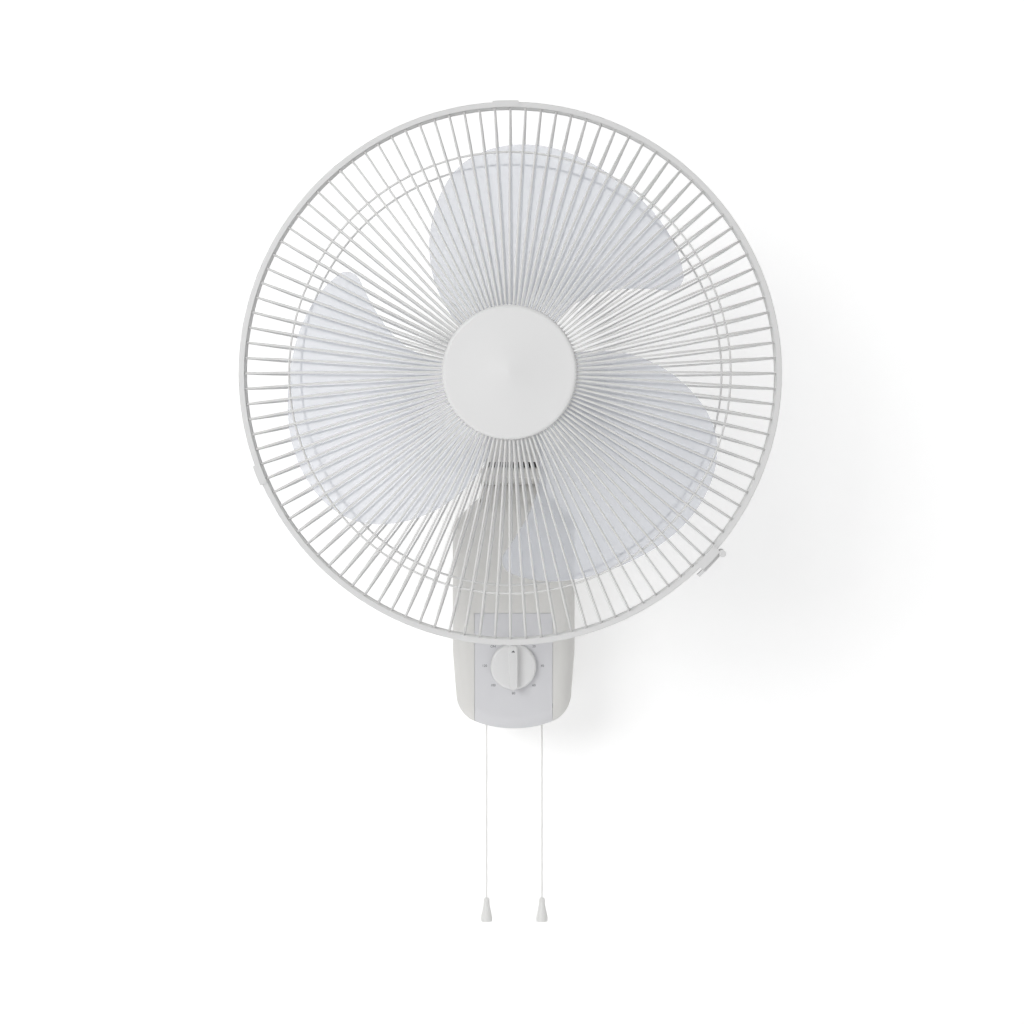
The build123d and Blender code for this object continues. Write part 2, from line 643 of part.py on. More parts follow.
with BuildPart() as capacitor:
    block((4, 34), (INNER_BACK_OUT, INNER_BACK_OUT + 16), (-40, -18))
    fillet(capacitor.edges().filter_by(Axis.Z), 2)

with BuildPart() as cable_inlet:
    rod_z(0, INLET_OUT, INLET_R, (BOTTOM_Z, BOTTOM_Z + WALL + 0.4))
    rod_z(0, INLET_OUT, INLET_R + 1.5, (BOTTOM_Z + WALL + 0.4, BOTTOM_Z + WALL + 2))
    rod_z(0, INLET_OUT, INLET_R + 1.5, (BOTTOM_Z - INLET_DROP, BOTTOM_Z))
    fillet(cable_inlet.edges().group_by(Axis.Z)[0], 1)
    rod_z(0, INLET_OUT, INLET_BORE_R, (BOTTOM_Z - INLET_DROP - 1, BOTTOM_Z + WALL + 3), mode=Mode.SUBTRACT)

# ---------------------------------------------------------------- timer knob
knob_back = HOUSING_OUT + KNOB_LIFT
knob_face = knob_back + KNOB_DISC_T
with BuildPart() as timer_knob:
    rod_out(0, KNOB_Z, KNOB_R, (knob_back, knob_face))
    fillet(timer_knob.edges().group_by(Axis.Y)[0], 2.5)
    with BuildSketch(facing(knob_face - 1)):
        with Locations((0, KNOB_Z)):
            SlotOverall(2 * KNOB_R - 1, KNOB_BAR_W, rotation=90)
    extrude(amount=KNOB_BAR_H + 1)
    fillet(timer_knob.edges().group_by(Axis.Y)[0], 1.5)
    rod_out(0, KNOB_Z, TIMER_SHAFT_R, (knob_back - 1, knob_face + 4), mode=Mode.SUBTRACT)

with BuildPart() as timer_shaft:
    rod_out(0, KNOB_Z, TIMER_SHAFT_R, (timer_back + 8 + AIR, knob_face + 4))

# ---------------------------------------------------------------- pull cords
speed_plunger, swing_plunger = plunger(-CORD_X), plunger(CORD_X)
speed_spring, swing_spring = return_spring(-CORD_X), return_spring(CORD_X)
speed_cord, swing_cord = pull_cord(-CORD_X), pull_cord(CORD_X)
speed_pull_knob, swing_pull_knob = pull_knob(-CORD_X), pull_knob(CORD_X)


# ---------------------------------------------------------------- tilting knuckle
def neck_profile(inset):
    """The knuckle seen from the side: a drum about the tilt axis with a seat that leans forward."""
    seat = [
        (NECK_FRONT_OUT, NECK_TOP), (NECK_REAR_OUT, NECK_TOP), (NECK_REAR_OUT, TILT_Z + 10),
        (TILT_OUT + 8, TILT_Z + 10), (TILT_OUT + 20, TILT_Z + 32), (NECK_FRONT_OUT, NECK_TOP - NECK_LIP),
    ]
    with BuildSketch(SIDE) as profile:
        with Locations((TILT_OUT, TILT_Z)):
            Circle(DRUM_R)
        with BuildLine():
            Polyline(*seat, close=True)
        make_face()
        if inset:
            offset(amount=-inset, kind=Kind.INTERSECTION)
    return profile.sketch


def neck_solid(inset):
    """The knuckle as a solid with rounded front corners, shrunk by the inset."""
    with BuildPart() as solid:
        extrude(neck_profile(inset), NECK_HALF - inset, both=True)
        fillet(solid.edges().filter_by(Axis.Z).group_by(Axis.Y)[0], NECK_CORNER_R - inset)
        fillet(solid.edges().group_by(Axis.Z)[-1], NECK_EDGE_R - inset)
    return solid.part


with BuildPart() as neck_block:
    add(neck_solid(0.0))
    add(neck_solid(WALL), mode=Mode.SUBTRACT)
    rod_x(TILT_OUT, TILT_Z, TILT_PIN_R, (-NECK_HALF - 1, NECK_HALF + 1), mode=Mode.SUBTRACT)
    rod_z(0, PAN_OUT, POST_R + 0.5, (NECK_TOP - WALL - 1, NECK_TOP + 1), mode=Mode.SUBTRACT)

with BuildPart() as neck_front_shell:
    add(neck_block.part)
    split(bisect_by=Plane(origin=(0, -NECK_SPLIT_OUT, 0), z_dir=(0, -1, 0)))

with BuildPart() as neck_rear_shell:
    add(neck_block.part)
    split(bisect_by=Plane(origin=(0, -NECK_SPLIT_OUT, 0), z_dir=(0, 1, 0)))

BRACKET_HALF = NECK_HALF - WALL - 1.7
bracket_top = NECK_INSIDE_TOP
bracket_floor = bracket_top - BRACKET_T
with BuildPart() as tilt_bracket:
    block((-BRACKET_HALF, BRACKET_HALF), (NECK_REAR_OUT + 4, NECK_FRONT_OUT - 8),
          (bracket_floor, bracket_top))
    with BuildSketch(SIDE.offset(-BRACKET_HALF)):
        with BuildLine():
            Polyline((NECK_REAR_OUT + 4, bracket_top), (TILT_OUT + 15, bracket_top),
                     (TILT_OUT + 9, TILT_Z + 9), (TILT_OUT + 9, TILT_Z - 9), (TILT_OUT - 9, TILT_Z - 9),
                     (TILT_OUT - 9, TILT_Z + 12), (NECK_REAR_OUT + 4, TILT_Z + 30), close=True)
        make_face()
    extrude(amount=2 * BRACKET_HALF)
    block((-BRACKET_HALF + BRACKET_T, BRACKET_HALF - BRACKET_T), (0, NECK_FRONT_OUT), (0, bracket_floor),
          mode=Mode.SUBTRACT)
    rod_x(TILT_OUT, TILT_Z, TILT_PIN_R, (-NECK_HALF, NECK_HALF), mode=Mode.SUBTRACT)
    rod_z(0, PAN_OUT, POST_R, (bracket_floor - 1, bracket_top + 1), mode=Mode.SUBTRACT)

with BuildPart() as tilt_pin:
    rod_x(TILT_OUT, TILT_Z, TILT_PIN_R, (-PIN_END, PIN_END))
    rod_x(TILT_OUT, TILT_Z, 7, (-PIN_END, -PIN_END + PIN_HEAD_T))
    with BuildSketch(Plane.YZ.offset(PIN_END - PIN_HEAD_T)):
        with Locations((-TILT_OUT, TILT_Z)):
            RegularPolygon(7, 6)
    extrude(amount=PIN_HEAD_T)

with BuildPart() as tilt_washers:
    for side in (-1, 1):
        span = sorted((side * (YOKE_OUT + AIR), side * (YOKE_OUT + TILT_WASHER_T)))
        rod_x(TILT_OUT, TILT_Z, 7.5, span)
        rod_x(TILT_OUT, TILT_Z, TILT_PIN_R, span, mode=Mode.SUBTRACT)

arm_top = ARM_Z + ARM_T
with BuildPart() as pan_post:
    rod_z(0, PAN_OUT, POST_R + 4, (bracket_floor - 3, bracket_floor))
    rod_z(0, PAN_OUT, POST_R, (bracket_floor - 3, ARM_Z))
    rod_z(0, PAN_OUT, POST_TIP_R, (ARM_Z, arm_top + NUT_H))

with BuildPart() as post_washers:
    rod_z(0, PAN_OUT, BOSS_R - 1, (NECK_TOP, NECK_TOP + WASHER_T))
    rod_z(0, PAN_OUT, POST_R + 5, (BOSS_TOP + AIR, ARM_Z))
    rod_z(0, PAN_OUT, POST_R + RUN, (NECK_TOP - 1, ARM_Z + 1), mode=Mode.SUBTRACT)

slot_near = CRANK_OFFSET / cos(radians(SWING_DEG)) - CRANK_PIN_R - 2 * CRANK_SLOT_GAP
slot_far = CRANK_OFFSET + CRANK_THROW + CRANK_PIN_R + 2 * CRANK_SLOT_GAP
arm_tip = slot_far + 2.6 - ARM_W / 2
with BuildPart() as swing_arm:
    with BuildSketch(Plane.XY.offset(ARM_Z)):
        with Locations((0, -PAN_OUT)):
            Circle(POST_R + 4)
        with Locations((0, -PAN_OUT - arm_tip / 2)):
            SlotCenterToCenter(arm_tip, ARM_W, rotation=90)
        with Locations((0, -PAN_OUT)):
            Circle(POST_TIP_R, mode=Mode.SUBTRACT)
        with Locations((0, -PAN_OUT - (slot_near + slot_far) / 2)):
            SlotOverall(slot_far - slot_near, 2 * (CRANK_PIN_R + CRANK_SLOT_GAP), rotation=90,
                        mode=Mode.SUBTRACT)
    extrude(amount=ARM_T)

with BuildPart() as post_nut:
    with BuildSketch(Plane.XY.offset(arm_top)):
        with Locations((0, -PAN_OUT)):
            RegularPolygon(8, 6)
            Circle(POST_TIP_R, mode=Mode.SUBTRACT)
    extrude(amount=NUT_H)

# ---------------------------------------------------------------- head: frame and swing drive
shelf_z = SWING_MOTOR_Z + SWING_MOTOR_H
with BuildPart() as motor_frame:
    rod_z(0, PAN_OUT, BOSS_R, (BOSS_BOTTOM, BOSS_TOP))
    block((-12, 12), (PAN_OUT, REAR_BELL_OUT), (BELLY_Z + 4, BELLY_Z + 14))
    block((-22, 22), (REAR_BELL_OUT - FRAME_T, REAR_BELL_OUT), (BELLY_Z + 4, FAN_Z))
    block((-31, 31), (REAR_BELL_OUT - FRAME_T, REAR_BELL_OUT), (FAN_Z - 38, FAN_Z + 41))
    block((-22, 22), (CRANK_OUT - 14, REAR_BELL_OUT), (shelf_z, shelf_z + 3))
    chamfer(motor_frame.edges().filter_by(Axis.Y).group_by(Axis.Z)[-1], 12)
    rod_z(0, PAN_OUT, POST_R + BUSH_WALL, (BOSS_BOTTOM - 1, BOSS_TOP + 1), mode=Mode.SUBTRACT)
    rod_out(0, FAN_Z, 12, (REAR_BELL_OUT - FRAME_T - 1, REAR_BELL_OUT + 1), mode=Mode.SUBTRACT)
    for angle in (45, 135, 225, 315):
        rod_out(BOLT_PCR * cos(radians(angle)), FAN_Z + BOLT_PCR * sin(radians(angle)), BOLT_R,
                (REAR_BELL_OUT - FRAME_T - 1, REAR_BELL_OUT + 1), mode=Mode.SUBTRACT)

with BuildPart() as pan_bush:
    rod_z(0, PAN_OUT, POST_R + BUSH_WALL, (BOSS_BOTTOM, BOSS_TOP))
    rod_z(0, PAN_OUT, POST_R + RUN, (BOSS_BOTTOM - 1, BOSS_TOP + 1), mode=Mode.SUBTRACT)

with BuildPart() as swing_motor:
    rod_z(0, CRANK_OUT, SWING_MOTOR_R, (SWING_MOTOR_Z, shelf_z))
    fillet(swing_motor.edges().filter_by(GeomType.CIRCLE), 1)
    rod_z(0, CRANK_OUT, 2.5 + RUN, (SWING_MOTOR_Z - 1, SWING_MOTOR_Z + 8), mode=Mode.SUBTRACT)

with BuildPart() as swing_crank:
    rod_z(0, CRANK_OUT, CRANK_THROW + 3, (CRANK_Z, CRANK_Z + CRANK_T))
    rod_z(0, CRANK_OUT, 2.5, (CRANK_Z, SWING_MOTOR_Z + 7))
    rod_z(0, CRANK_OUT + CRANK_THROW, CRANK_PIN_R, (ARM_Z - 0.8, CRANK_Z))

# ---------------------------------------------------------------- head: motor
with BuildPart() as rear_bell:
    turned([(REAR_BELL_OUT, BEARING_R), (REAR_BELL_OUT, BELL_R), (STACK_OUT, BELL_R),
            (STACK_OUT, BELL_R - BELL_WALL), (REAR_BELL_OUT + BELL_T, BELL_R - BELL_WALL),
            (REAR_BELL_OUT + BELL_T, BEARING_R + 4), (STACK_OUT - 4, BEARING_R + 4),
            (STACK_OUT - 4, BEARING_R)], [(1, 2.0)])
    for angle in (45, 135, 225, 315):
        rod_out(BOLT_PCR * cos(radians(angle)), FAN_Z + BOLT_PCR * sin(radians(angle)), BOLT_R,
                (REAR_BELL_OUT - 1, REAR_BELL_OUT + BELL_T + 1), mode=Mode.SUBTRACT)

with BuildPart() as front_bell:
    turned([(BELL_FRONT_OUT, BEARING_R), (BELL_FRONT_OUT, BELL_R), (FRONT_BELL_OUT, BELL_R),
            (FRONT_BELL_OUT, BELL_R - BELL_WALL), (BELL_FRONT_OUT - BELL_T, BELL_R - BELL_WALL),
            (BELL_FRONT_OUT - BELL_T, BEARING_R + 4), (FRONT_BELL_OUT + 4, BEARING_R + 4),
            (FRONT_BELL_OUT + 4, BEARING_R)], [(1, 2.0)])
    for angle in (45, 135, 225, 315):
        rod_out(BOLT_PCR * cos(radians(angle)), FAN_Z + BOLT_PCR * sin(radians(angle)), BOLT_R,
                (BELL_FRONT_OUT - BELL_T - 1, BELL_FRONT_OUT + 1), mode=Mode.SUBTRACT)

SLOTS = 12
with BuildPart() as stator_core:
    ring((STACK_OUT, FRONT_BELL_OUT), (STATOR_BORE_R, BELL_R))
    for number in range(SLOTS):
        angle = radians(360 / SLOTS * number)
        rod_out(29 * cos(angle), FAN_Z + 29 * sin(angle), 4, (STACK_OUT - 1, FRONT_BELL_OUT + 1),
                mode=Mode.SUBTRACT)
    for angle in (45, 135, 225, 315):
        rod_out(BOLT_PCR * cos(radians(angle)), FAN_Z + BOLT_PCR * sin(radians(angle)), BOLT_R,
                (STACK_OUT - 1, FRONT_BELL_OUT + 1), mode=Mode.SUBTRACT)

with BuildPart() as stator_windings:
    ring((REAR_BELL_OUT + BELL_T + 1, STACK_OUT), (STATOR_BORE_R + 1, BOLT_PCR - 3))
    ring((FRONT_BELL_OUT, BELL_FRONT_OUT - BELL_T - 1), (STATOR_BORE_R + 1, BOLT_PCR - 3))
    fillet(stator_windings.edges().filter_by(GeomType.CIRCLE).group_by(Axis.Y)[0], 3)
    fillet(stator_windings.edges().filter_by(GeomType.CIRCLE).group_by(Axis.Y)[-1], 3)

with BuildPart() as shaft_bearings:
    ring((REAR_BELL_OUT + 2, STACK_OUT - 4), (SHAFT_R + RUN, BEARING_R))
    ring((FRONT_BELL_OUT + 4, BELL_FRONT_OUT), (SHAFT_R + RUN, BEARING_R))

with BuildPart() as motor_bolts:
    for angle in (45, 135, 225, 315):
        x, z = BOLT_PCR * cos(radians(angle)), FAN_Z + BOLT_PCR * sin(radians(angle))
        rod_out(x, z, BOLT_R, (REAR_BELL_OUT - FRAME_T, BELL_FRONT_OUT + 1))
        rod_out(x, z, 3.4, (REAR_BELL_OUT - FRAME_T - 3, REAR_BELL_OUT - FRAME_T))
        rod_out(x, z, 3.2, (BELL_FRONT_OUT, BELL_FRONT_OUT + 2.4))

# ---------------------------------------------------------------- head: covers
belly_top = FAN_Z - 20


def belly_outline(inset):
    """The belly's rounded rectangle seen from above, drawn in the open sketch."""
    with Locations((0, -(COVER_REAR_OUT + BELLY_FRONT_OUT) / 2)):
        RectangleRounded(2 * (BELLY_HALF - inset), BELLY_FRONT_OUT - COVER_REAR_OUT - 2 * inset,
                         BELLY_CORNER_R - inset)


def belly(inset, mode=Mode.ADD):
    """The box under the rear cover that holds the swing drive."""
    with BuildSketch(Plane.XY.offset(BELLY_Z + inset)) as plan:
        belly_outline(inset)
    extrude(plan.sketch, belly_top - BELLY_Z, mode=mode)


with BuildPart() as motor_rear_cover:
    turned([(COVER_SPLIT_OUT, 0), (COVER_SPLIT_OUT, COVER_R), (COVER_REAR_OUT, COVER_R), (COVER_REAR_OUT, 0)],
           [(2, COVER_REAR_R)])
    belly(0.0)
    fillet(motor_rear_cover.edges().group_by(Axis.Z)[0], 2)
    turned([(COVER_SPLIT_OUT + 1, 0), (COVER_SPLIT_OUT + 1, COVER_R - COVER_WALL),
            (COVER_REAR_OUT + COVER_WALL, COVER_R - COVER_WALL), (COVER_REAR_OUT + COVER_WALL, 0)],
           [(2, COVER_REAR_R - COVER_WALL)], mode=Mode.SUBTRACT)
    belly(COVER_WALL, mode=Mode.SUBTRACT)
    rod_z(0, PAN_OUT, BELLY_HOLE_R, (BELLY_Z - 1, BELLY_Z + COVER_WALL + 1), mode=Mode.SUBTRACT)
    for row in range(-4, 5):
        half = sqrt(33.0**2 - (7.0 * row) ** 2)
        block((7 * row - 1.5, 7 * row + 1.5), (COVER_REAR_OUT - 1, COVER_REAR_OUT + COVER_WALL + 1),
              (FAN_Z - 0.75 * half, FAN_Z + half), mode=Mode.SUBTRACT)
    for side in (-1, 1):
        rod_out(side * 37, FAN_Z, 4.8, (COVER_REAR_OUT + 1, REAR_BELL_OUT))
        rod_out(side * 37, FAN_Z, 1.6, (COVER_REAR_OUT - 1, REAR_BELL_OUT + 1), mode=Mode.SUBTRACT)
        rod_out(side * 37, FAN_Z, 3.2, (COVER_REAR_OUT - 1, COVER_REAR_OUT + 6), mode=Mode.SUBTRACT)

with BuildPart() as dust_ring:
    with BuildSketch(Plane.XY.offset(NECK_TOP + GAP)) as ring_plan:
        belly_outline(DUST_RING_INSET)
        with Locations((0, -PAN_OUT)):
            Circle(DUST_RING_R, mode=Mode.INTERSECT)
            Circle(DUST_RING_BORE_R, mode=Mode.SUBTRACT)
    extrude(ring_plan.sketch, BELLY_GAP - GAP)

with BuildPart() as cover_screws:
    for side in (-1, 1):
        rod_out(side * 37, FAN_Z, 3.0, (COVER_REAR_OUT + 3.6, COVER_REAR_OUT + 6))
        rod_out(side * 37, FAN_Z, 1.6, (COVER_REAR_OUT + 5, REAR_BELL_OUT))

inner_front = COVER_FRONT_OUT - COVER_WALL
with BuildPart() as motor_front_cover:
    turned([(COVER_SPLIT_OUT, COVER_R), (COVER_FRONT_OUT, COVER_R), (COVER_FRONT_OUT, NOSE_R),
            (NOSE_OUT, NOSE_R), (NOSE_OUT, BEARING_R + 1), (BELL_FRONT_OUT, BEARING_R + 1),
            (BELL_FRONT_OUT, BEARING_R + 6), (inner_front, BEARING_R + 6),
            (inner_front, COVER_R - COVER_WALL), (COVER_SPLIT_OUT, COVER_R - COVER_WALL)],
           [(1, COVER_FRONT_R), (8, COVER_FRONT_R - COVER_WALL)])

# ---------------------------------------------------------------- head: guards
with BuildPart() as rear_guard:
    ring((COVER_FRONT_OUT, COVER_FRONT_OUT + PLATE_LIP_T), (NOSE_R + 0.2, PLATE_R))
    torus(HOOP_OUT - RIM_SHIFT, RIM_R, RIM_WIRE_R)
    weld_ring(REAR_WIRE, 1)
    rear_wire = guard_wire(REAR_WIRE, REAR_BENDS)
    add([rear_wire.rotate(FAN_AXIS, 360 / WIRES * number) for number in range(WIRES)])

with BuildPart() as guard_nut:
    ring((COVER_FRONT_OUT + PLATE_LIP_T, COVER_FRONT_OUT + PLATE_LIP_T + NUT_L), (NOSE_R + AIR, NUT_R))
    fillet(guard_nut.edges().filter_by(GeomType.CIRCLE).sort_by(SortBy.RADIUS)[-2:], 1.5)
    for number in range(12):
        angle = radians(30 * number)
        rod_out(NUT_R * cos(angle), FAN_Z + NUT_R * sin(angle), 2.2,
                (COVER_FRONT_OUT + 1, COVER_FRONT_OUT + 4 + NUT_L), mode=Mode.SUBTRACT)

inner_ring_out = along(FRONT_WIRE, INNER_RING_R)[0] - WIRE_R - INNER_RING_WIRE_R + 0.3
with BuildPart() as front_guard:
    torus(inner_ring_out, INNER_RING_R, INNER_RING_WIRE_R)
    torus(HOOP_OUT + RIM_SHIFT, RIM_R, RIM_WIRE_R)
    weld_ring(FRONT_WIRE, -1)
    front_wire = guard_wire(FRONT_WIRE, FRONT_BENDS)
    add([front_wire.rotate(FAN_AXIS, 360 / WIRES * number) for number in range(WIRES)])

hoop_low, hoop_high = HOOP_OUT - HOOP_HALF, HOOP_OUT + HOOP_HALF
with BuildPart() as guard_hoop:
    turned([(hoop_low, HOOP_INNER), (hoop_low, HOOP_R), (hoop_high, HOOP_R), (hoop_high, HOOP_INNER),
            (hoop_high - HOOP_T, HOOP_INNER), (hoop_high - HOOP_T, HOOP_R - HOOP_T),
            (hoop_low + HOOP_T, HOOP_R - HOOP_T), (hoop_low + HOOP_T, HOOP_INNER)], [(1, 0.8), (2, 0.8)])
    split_angle = radians(LATCH_DEG)
    with Locations(Location((HOOP_R * cos(split_angle), -HOOP_OUT, FAN_Z + HOOP_R * sin(split_angle)),
                            (0, -LATCH_DEG, 0))):
        Box(4 * HOOP_LIP, 3 * HOOP_HALF, HOOP_SPLIT, mode=Mode.SUBTRACT)

# ---------------------------------------------------------------- head: cap and clips
cap_rim = along(FRONT_WIRE, CAP_R - CAP_WALL)[0] + WIRE_R
cap_edge = CAP_FRONT_OUT - CAP_CROWN
dome_r = (CAP_R**2 + CAP_CROWN**2) / (2 * CAP_CROWN)
plate_front = inner_ring_out - INNER_RING_WIRE_R
with BuildPart() as centre_cap:
    with BuildSketch(SCREEN) as cap_half:
        with BuildLine():
            RadiusArc((CAP_FRONT_OUT, 0), (cap_edge, CAP_R), dome_r)
            Polyline((cap_edge, CAP_R), (cap_rim, CAP_R), (cap_rim, 0), (CAP_FRONT_OUT, 0))
        make_face()
        fillet(cap_half.vertices().sort_by_distance(Vector(cap_edge, CAP_R, 0))[0], CAP_EDGE_R)
    revolve(cap_half.sketch, FAN_AXIS)
    turned([(cap_rim - 1, 0), (cap_rim - 1, CAP_R - CAP_WALL), (cap_edge - CAP_WALL, CAP_R - CAP_WALL),
            (CAP_FRONT_OUT - CAP_WALL - 0.4, 0)], mode=Mode.SUBTRACT)
    ring((plate_front, CAP_FRONT_OUT - CAP_WALL), (0, CAP_BOSS_R))
    ring((plate_front - 1, cap_edge - CAP_WALL), (0, 1.5), mode=Mode.SUBTRACT)

with BuildPart() as cap_plate:
    ring((plate_front - CAP_PLATE_T, plate_front), (0, CAP_PLATE_R))
    fillet(cap_plate.edges().group_by(Axis.Y)[-1], 1)
    ring((plate_front - CAP_PLATE_T - 1, plate_front + 1), (0, 1.5), mode=Mode.SUBTRACT)

with BuildPart() as hoop_clips:
    add(saddle(TOP_CLIP_DEG, TOP_CLIP_L, CLIP_T))
    add(saddle(SIDE_CLIP_DEG, SIDE_CLIP_L, SIDE_CLIP_T))

latch_span = degrees_of(LATCH_L)
lug_deg = LATCH_DEG + latch_span / 2
knuckle_r = LEVER_PIN_R + 1.0
pin_r_place = LEVER_R + knuckle_r + GAP
lug = (pin_r_place * cos(radians(lug_deg)), pin_r_place * sin(radians(lug_deg)))
with BuildPart() as latch_base:
    add(saddle(LATCH_DEG, LATCH_L, LATCH_T))
    rod_out(lug[0], FAN_Z + lug[1], knuckle_r + 0.6, (hoop_low - LATCH_T, hoop_low + 2))
    rod_out(lug[0], FAN_Z + lug[1], knuckle_r + 0.6, (hoop_high - 2, hoop_high + LATCH_T))
    rod_out(lug[0], FAN_Z + lug[1], LEVER_PIN_R + RUN, (hoop_low - 5, hoop_high + 5), mode=Mode.SUBTRACT)

with BuildPart() as latch_lever:
    lever_low, lever_high = hoop_low + 2 + GAP, hoop_high - 2 - GAP
    ring_r = LEVER_R + GAP
    turned([(lever_low, ring_r), (lever_high, ring_r), (lever_high, ring_r + LEVER_T),
            (lever_low, ring_r + LEVER_T)], arc=latch_span + 1.5)
    lever_strip = latch_lever.part.rotate(FAN_AXIS, LATCH_DEG - 90 - latch_span / 2 - 1.5)

with BuildPart() as latch_lever:
    add(lever_strip)
    rod_out(lug[0], FAN_Z + lug[1], knuckle_r, (lever_low, lever_high))
    rod_out(lug[0], FAN_Z + lug[1], LEVER_PIN_R, (hoop_low - LATCH_T, hoop_high + LATCH_T))


# ---------------------------------------------------------------- turning parts
def blade_point(radius, degrees, share):
    """A point of the blade's cambered sheet; share runs from -1 at the leading edge to 1."""
    out = BLADE_OUT + BLADE_RISE / 2 * share + BLADE_CAMBER * (share**2 - 0.5)
    return (radius * cos(radians(degrees)), -out, FAN_Z + radius * sin(radians(degrees)))


def edge_points(edge):
    """Blade edge points in the plane that faces the room."""
    return [(r * cos(radians(a)), FAN_Z + r * sin(radians(a))) for r, a in edge]


with BuildPart() as one_blade:
    first, last = 15.0, 145.0
    steps = [(first + (last - first) * n / 6, -1 + n / 3) for n in range(7)]
    blade_r = max(radius for radius, _ in TRAILING_EDGE)
    with BuildLine(mode=Mode.PRIVATE) as root_line:
        Spline(*[blade_point(HUB_R - 12, angle, share) for angle, share in steps])
    with BuildLine(mode=Mode.PRIVATE) as tip_line:
        Spline(*[blade_point(blade_r + EDGE_SPARE, angle, share) for angle, share in steps])
    sheet = Face.make_surface_from_curves(root_line.line.edges()[0], tip_line.line.edges()[0])
    thicken(sheet, BLADE_T / 2, both=True)
    with BuildSketch(facing(HUB_REAR_OUT - 40)) as blade_outline:
        with BuildLine():
            Spline(*edge_points(LEADING_EDGE))
            Spline(*edge_points(TRAILING_EDGE))
            Line(edge_points(TRAILING_EDGE)[-1], edge_points(LEADING_EDGE)[0])
        make_face()
        horn = edge_points(LEADING_EDGE)[-1]
        fillet(blade_outline.vertices().sort_by_distance(Vector(*horn, 0))[0], HORN_R)
    extrude(amount=160, mode=Mode.INTERSECT)

with BuildPart() as blade:
    turned([(HUB_REAR_OUT, HUB_R), (HUB_FRONT_OUT, HUB_R - 2), (HUB_FRONT_OUT, 0),
            (HUB_FRONT_OUT - HUB_WALL, 0), (HUB_FRONT_OUT - HUB_WALL, HUB_R - HUB_WALL - 2),
            (HUB_REAR_OUT, HUB_R - HUB_WALL)], [(1, 4.0)])
    ring((HUB_REAR_OUT + 4, HUB_FRONT_OUT), (0, HUB_BOSS_R))
    add([one_blade.part.rotate(FAN_AXIS, 360 / BLADE_COUNT * number) for number in range(BLADE_COUNT)])
    ring((HUB_REAR_OUT - 30, HUB_FRONT_OUT - HUB_WALL), (HUB_BOSS_R, HUB_R - HUB_WALL), mode=Mode.SUBTRACT)
    ring((HUB_REAR_OUT, HUB_FRONT_OUT + 1), (0, SHAFT_R), mode=Mode.SUBTRACT)
    rod_x(HUB_REAR_OUT + 6, FAN_Z, 1.5, (-9, 9), mode=Mode.SUBTRACT)

with BuildPart() as motor_shaft:
    ring((REAR_BELL_OUT + 1, HUB_FRONT_OUT + BLADE_NUT_H - 3), (0, SHAFT_R))
    rod_x(HUB_REAR_OUT + 6, FAN_Z, 1.5, (-9, 9), mode=Mode.SUBTRACT)

with BuildPart() as rotor_core:
    ring((STACK_OUT, FRONT_BELL_OUT), (SHAFT_R, STATOR_BORE_R - AIR_GAP))

with BuildPart() as drive_pin:
    rod_x(HUB_REAR_OUT + 6, FAN_Z, 1.5, (-9, 9))

with BuildPart() as blade_nut:
    turned([(HUB_FRONT_OUT, 0), (HUB_FRONT_OUT, BLADE_NUT_R), (HUB_FRONT_OUT + BLADE_NUT_H, BLADE_NUT_R - 4),
            (HUB_FRONT_OUT + BLADE_NUT_H, 0)], [(2, 3.0)])
    ring((HUB_FRONT_OUT - 1, HUB_FRONT_OUT + BLADE_NUT_H - 3), (0, SHAFT_R), mode=Mode.SUBTRACT)
    for number in range(8):
        angle = radians(45 * number)
        rod_out((BLADE_NUT_R + 0.5) * cos(angle), FAN_Z + (BLADE_NUT_R + 0.5) * sin(angle), 2,
                (HUB_FRONT_OUT - 1, HUB_FRONT_OUT + BLADE_NUT_H + 1), mode=Mode.SUBTRACT)

# ---------------------------------------------------------------- files
PIECES = {
    "wall_plate": wall_plate, "rear_housing": rear_housing, "front_housing": front_housing,
    "control_panel": control_panel, "housing_screws": housing_screws, "tilt_yoke": tilt_yoke,
    "timer_case": timer_case, "speed_switch": speed_switch, "swing_switch": swing_switch,
    "cord_eyelets": cord_eyelets, "terminal_block": terminal_block, "capacitor": capacitor,
    "cable_inlet": cable_inlet, "timer_knob": timer_knob, "timer_shaft": timer_shaft,
    "speed_plunger": speed_plunger, "speed_spring": speed_spring, "speed_cord": speed_cord,
    "speed_pull_knob": speed_pull_knob, "swing_plunger": swing_plunger, "swing_spring": swing_spring,
    "swing_cord": swing_cord, "swing_pull_knob": swing_pull_knob,
    "neck_front_shell": neck_front_shell, "neck_rear_shell": neck_rear_shell,
    "tilt_bracket": tilt_bracket, "tilt_pin": tilt_pin, "tilt_washers": tilt_washers,
    "pan_post": pan_post, "post_washers": post_washers, "swing_arm": swing_arm, "post_nut": post_nut,
    "motor_frame": motor_frame, "pan_bush": pan_bush, "swing_motor": swing_motor,
    "swing_crank": swing_crank, "rear_bell": rear_bell, "front_bell": front_bell,
    "stator_core": stator_core, "stator_windings": stator_windings, "shaft_bearings": shaft_bearings,
    "motor_bolts": motor_bolts, "motor_rear_cover": motor_rear_cover, "dust_ring": dust_ring,
    "cover_screws": cover_screws, "motor_front_cover": motor_front_cover, "rear_guard": rear_guard,
    "guard_nut": guard_nut,
    "front_guard": front_guard, "guard_hoop": guard_hoop, "centre_cap": centre_cap,
    "cap_plate": cap_plate, "hoop_clips": hoop_clips, "latch_base": latch_base,
    "latch_lever": latch_lever, "blade": blade, "motor_shaft": motor_shaft, "rotor_core": rotor_core,
    "drive_pin": drive_pin, "blade_nut": blade_nut,
}
os.makedirs("parts", exist_ok=True)
for name, piece in PIECES.items():
    piece.part.label = name
    export_step(piece.part, f"parts/{name}.step")
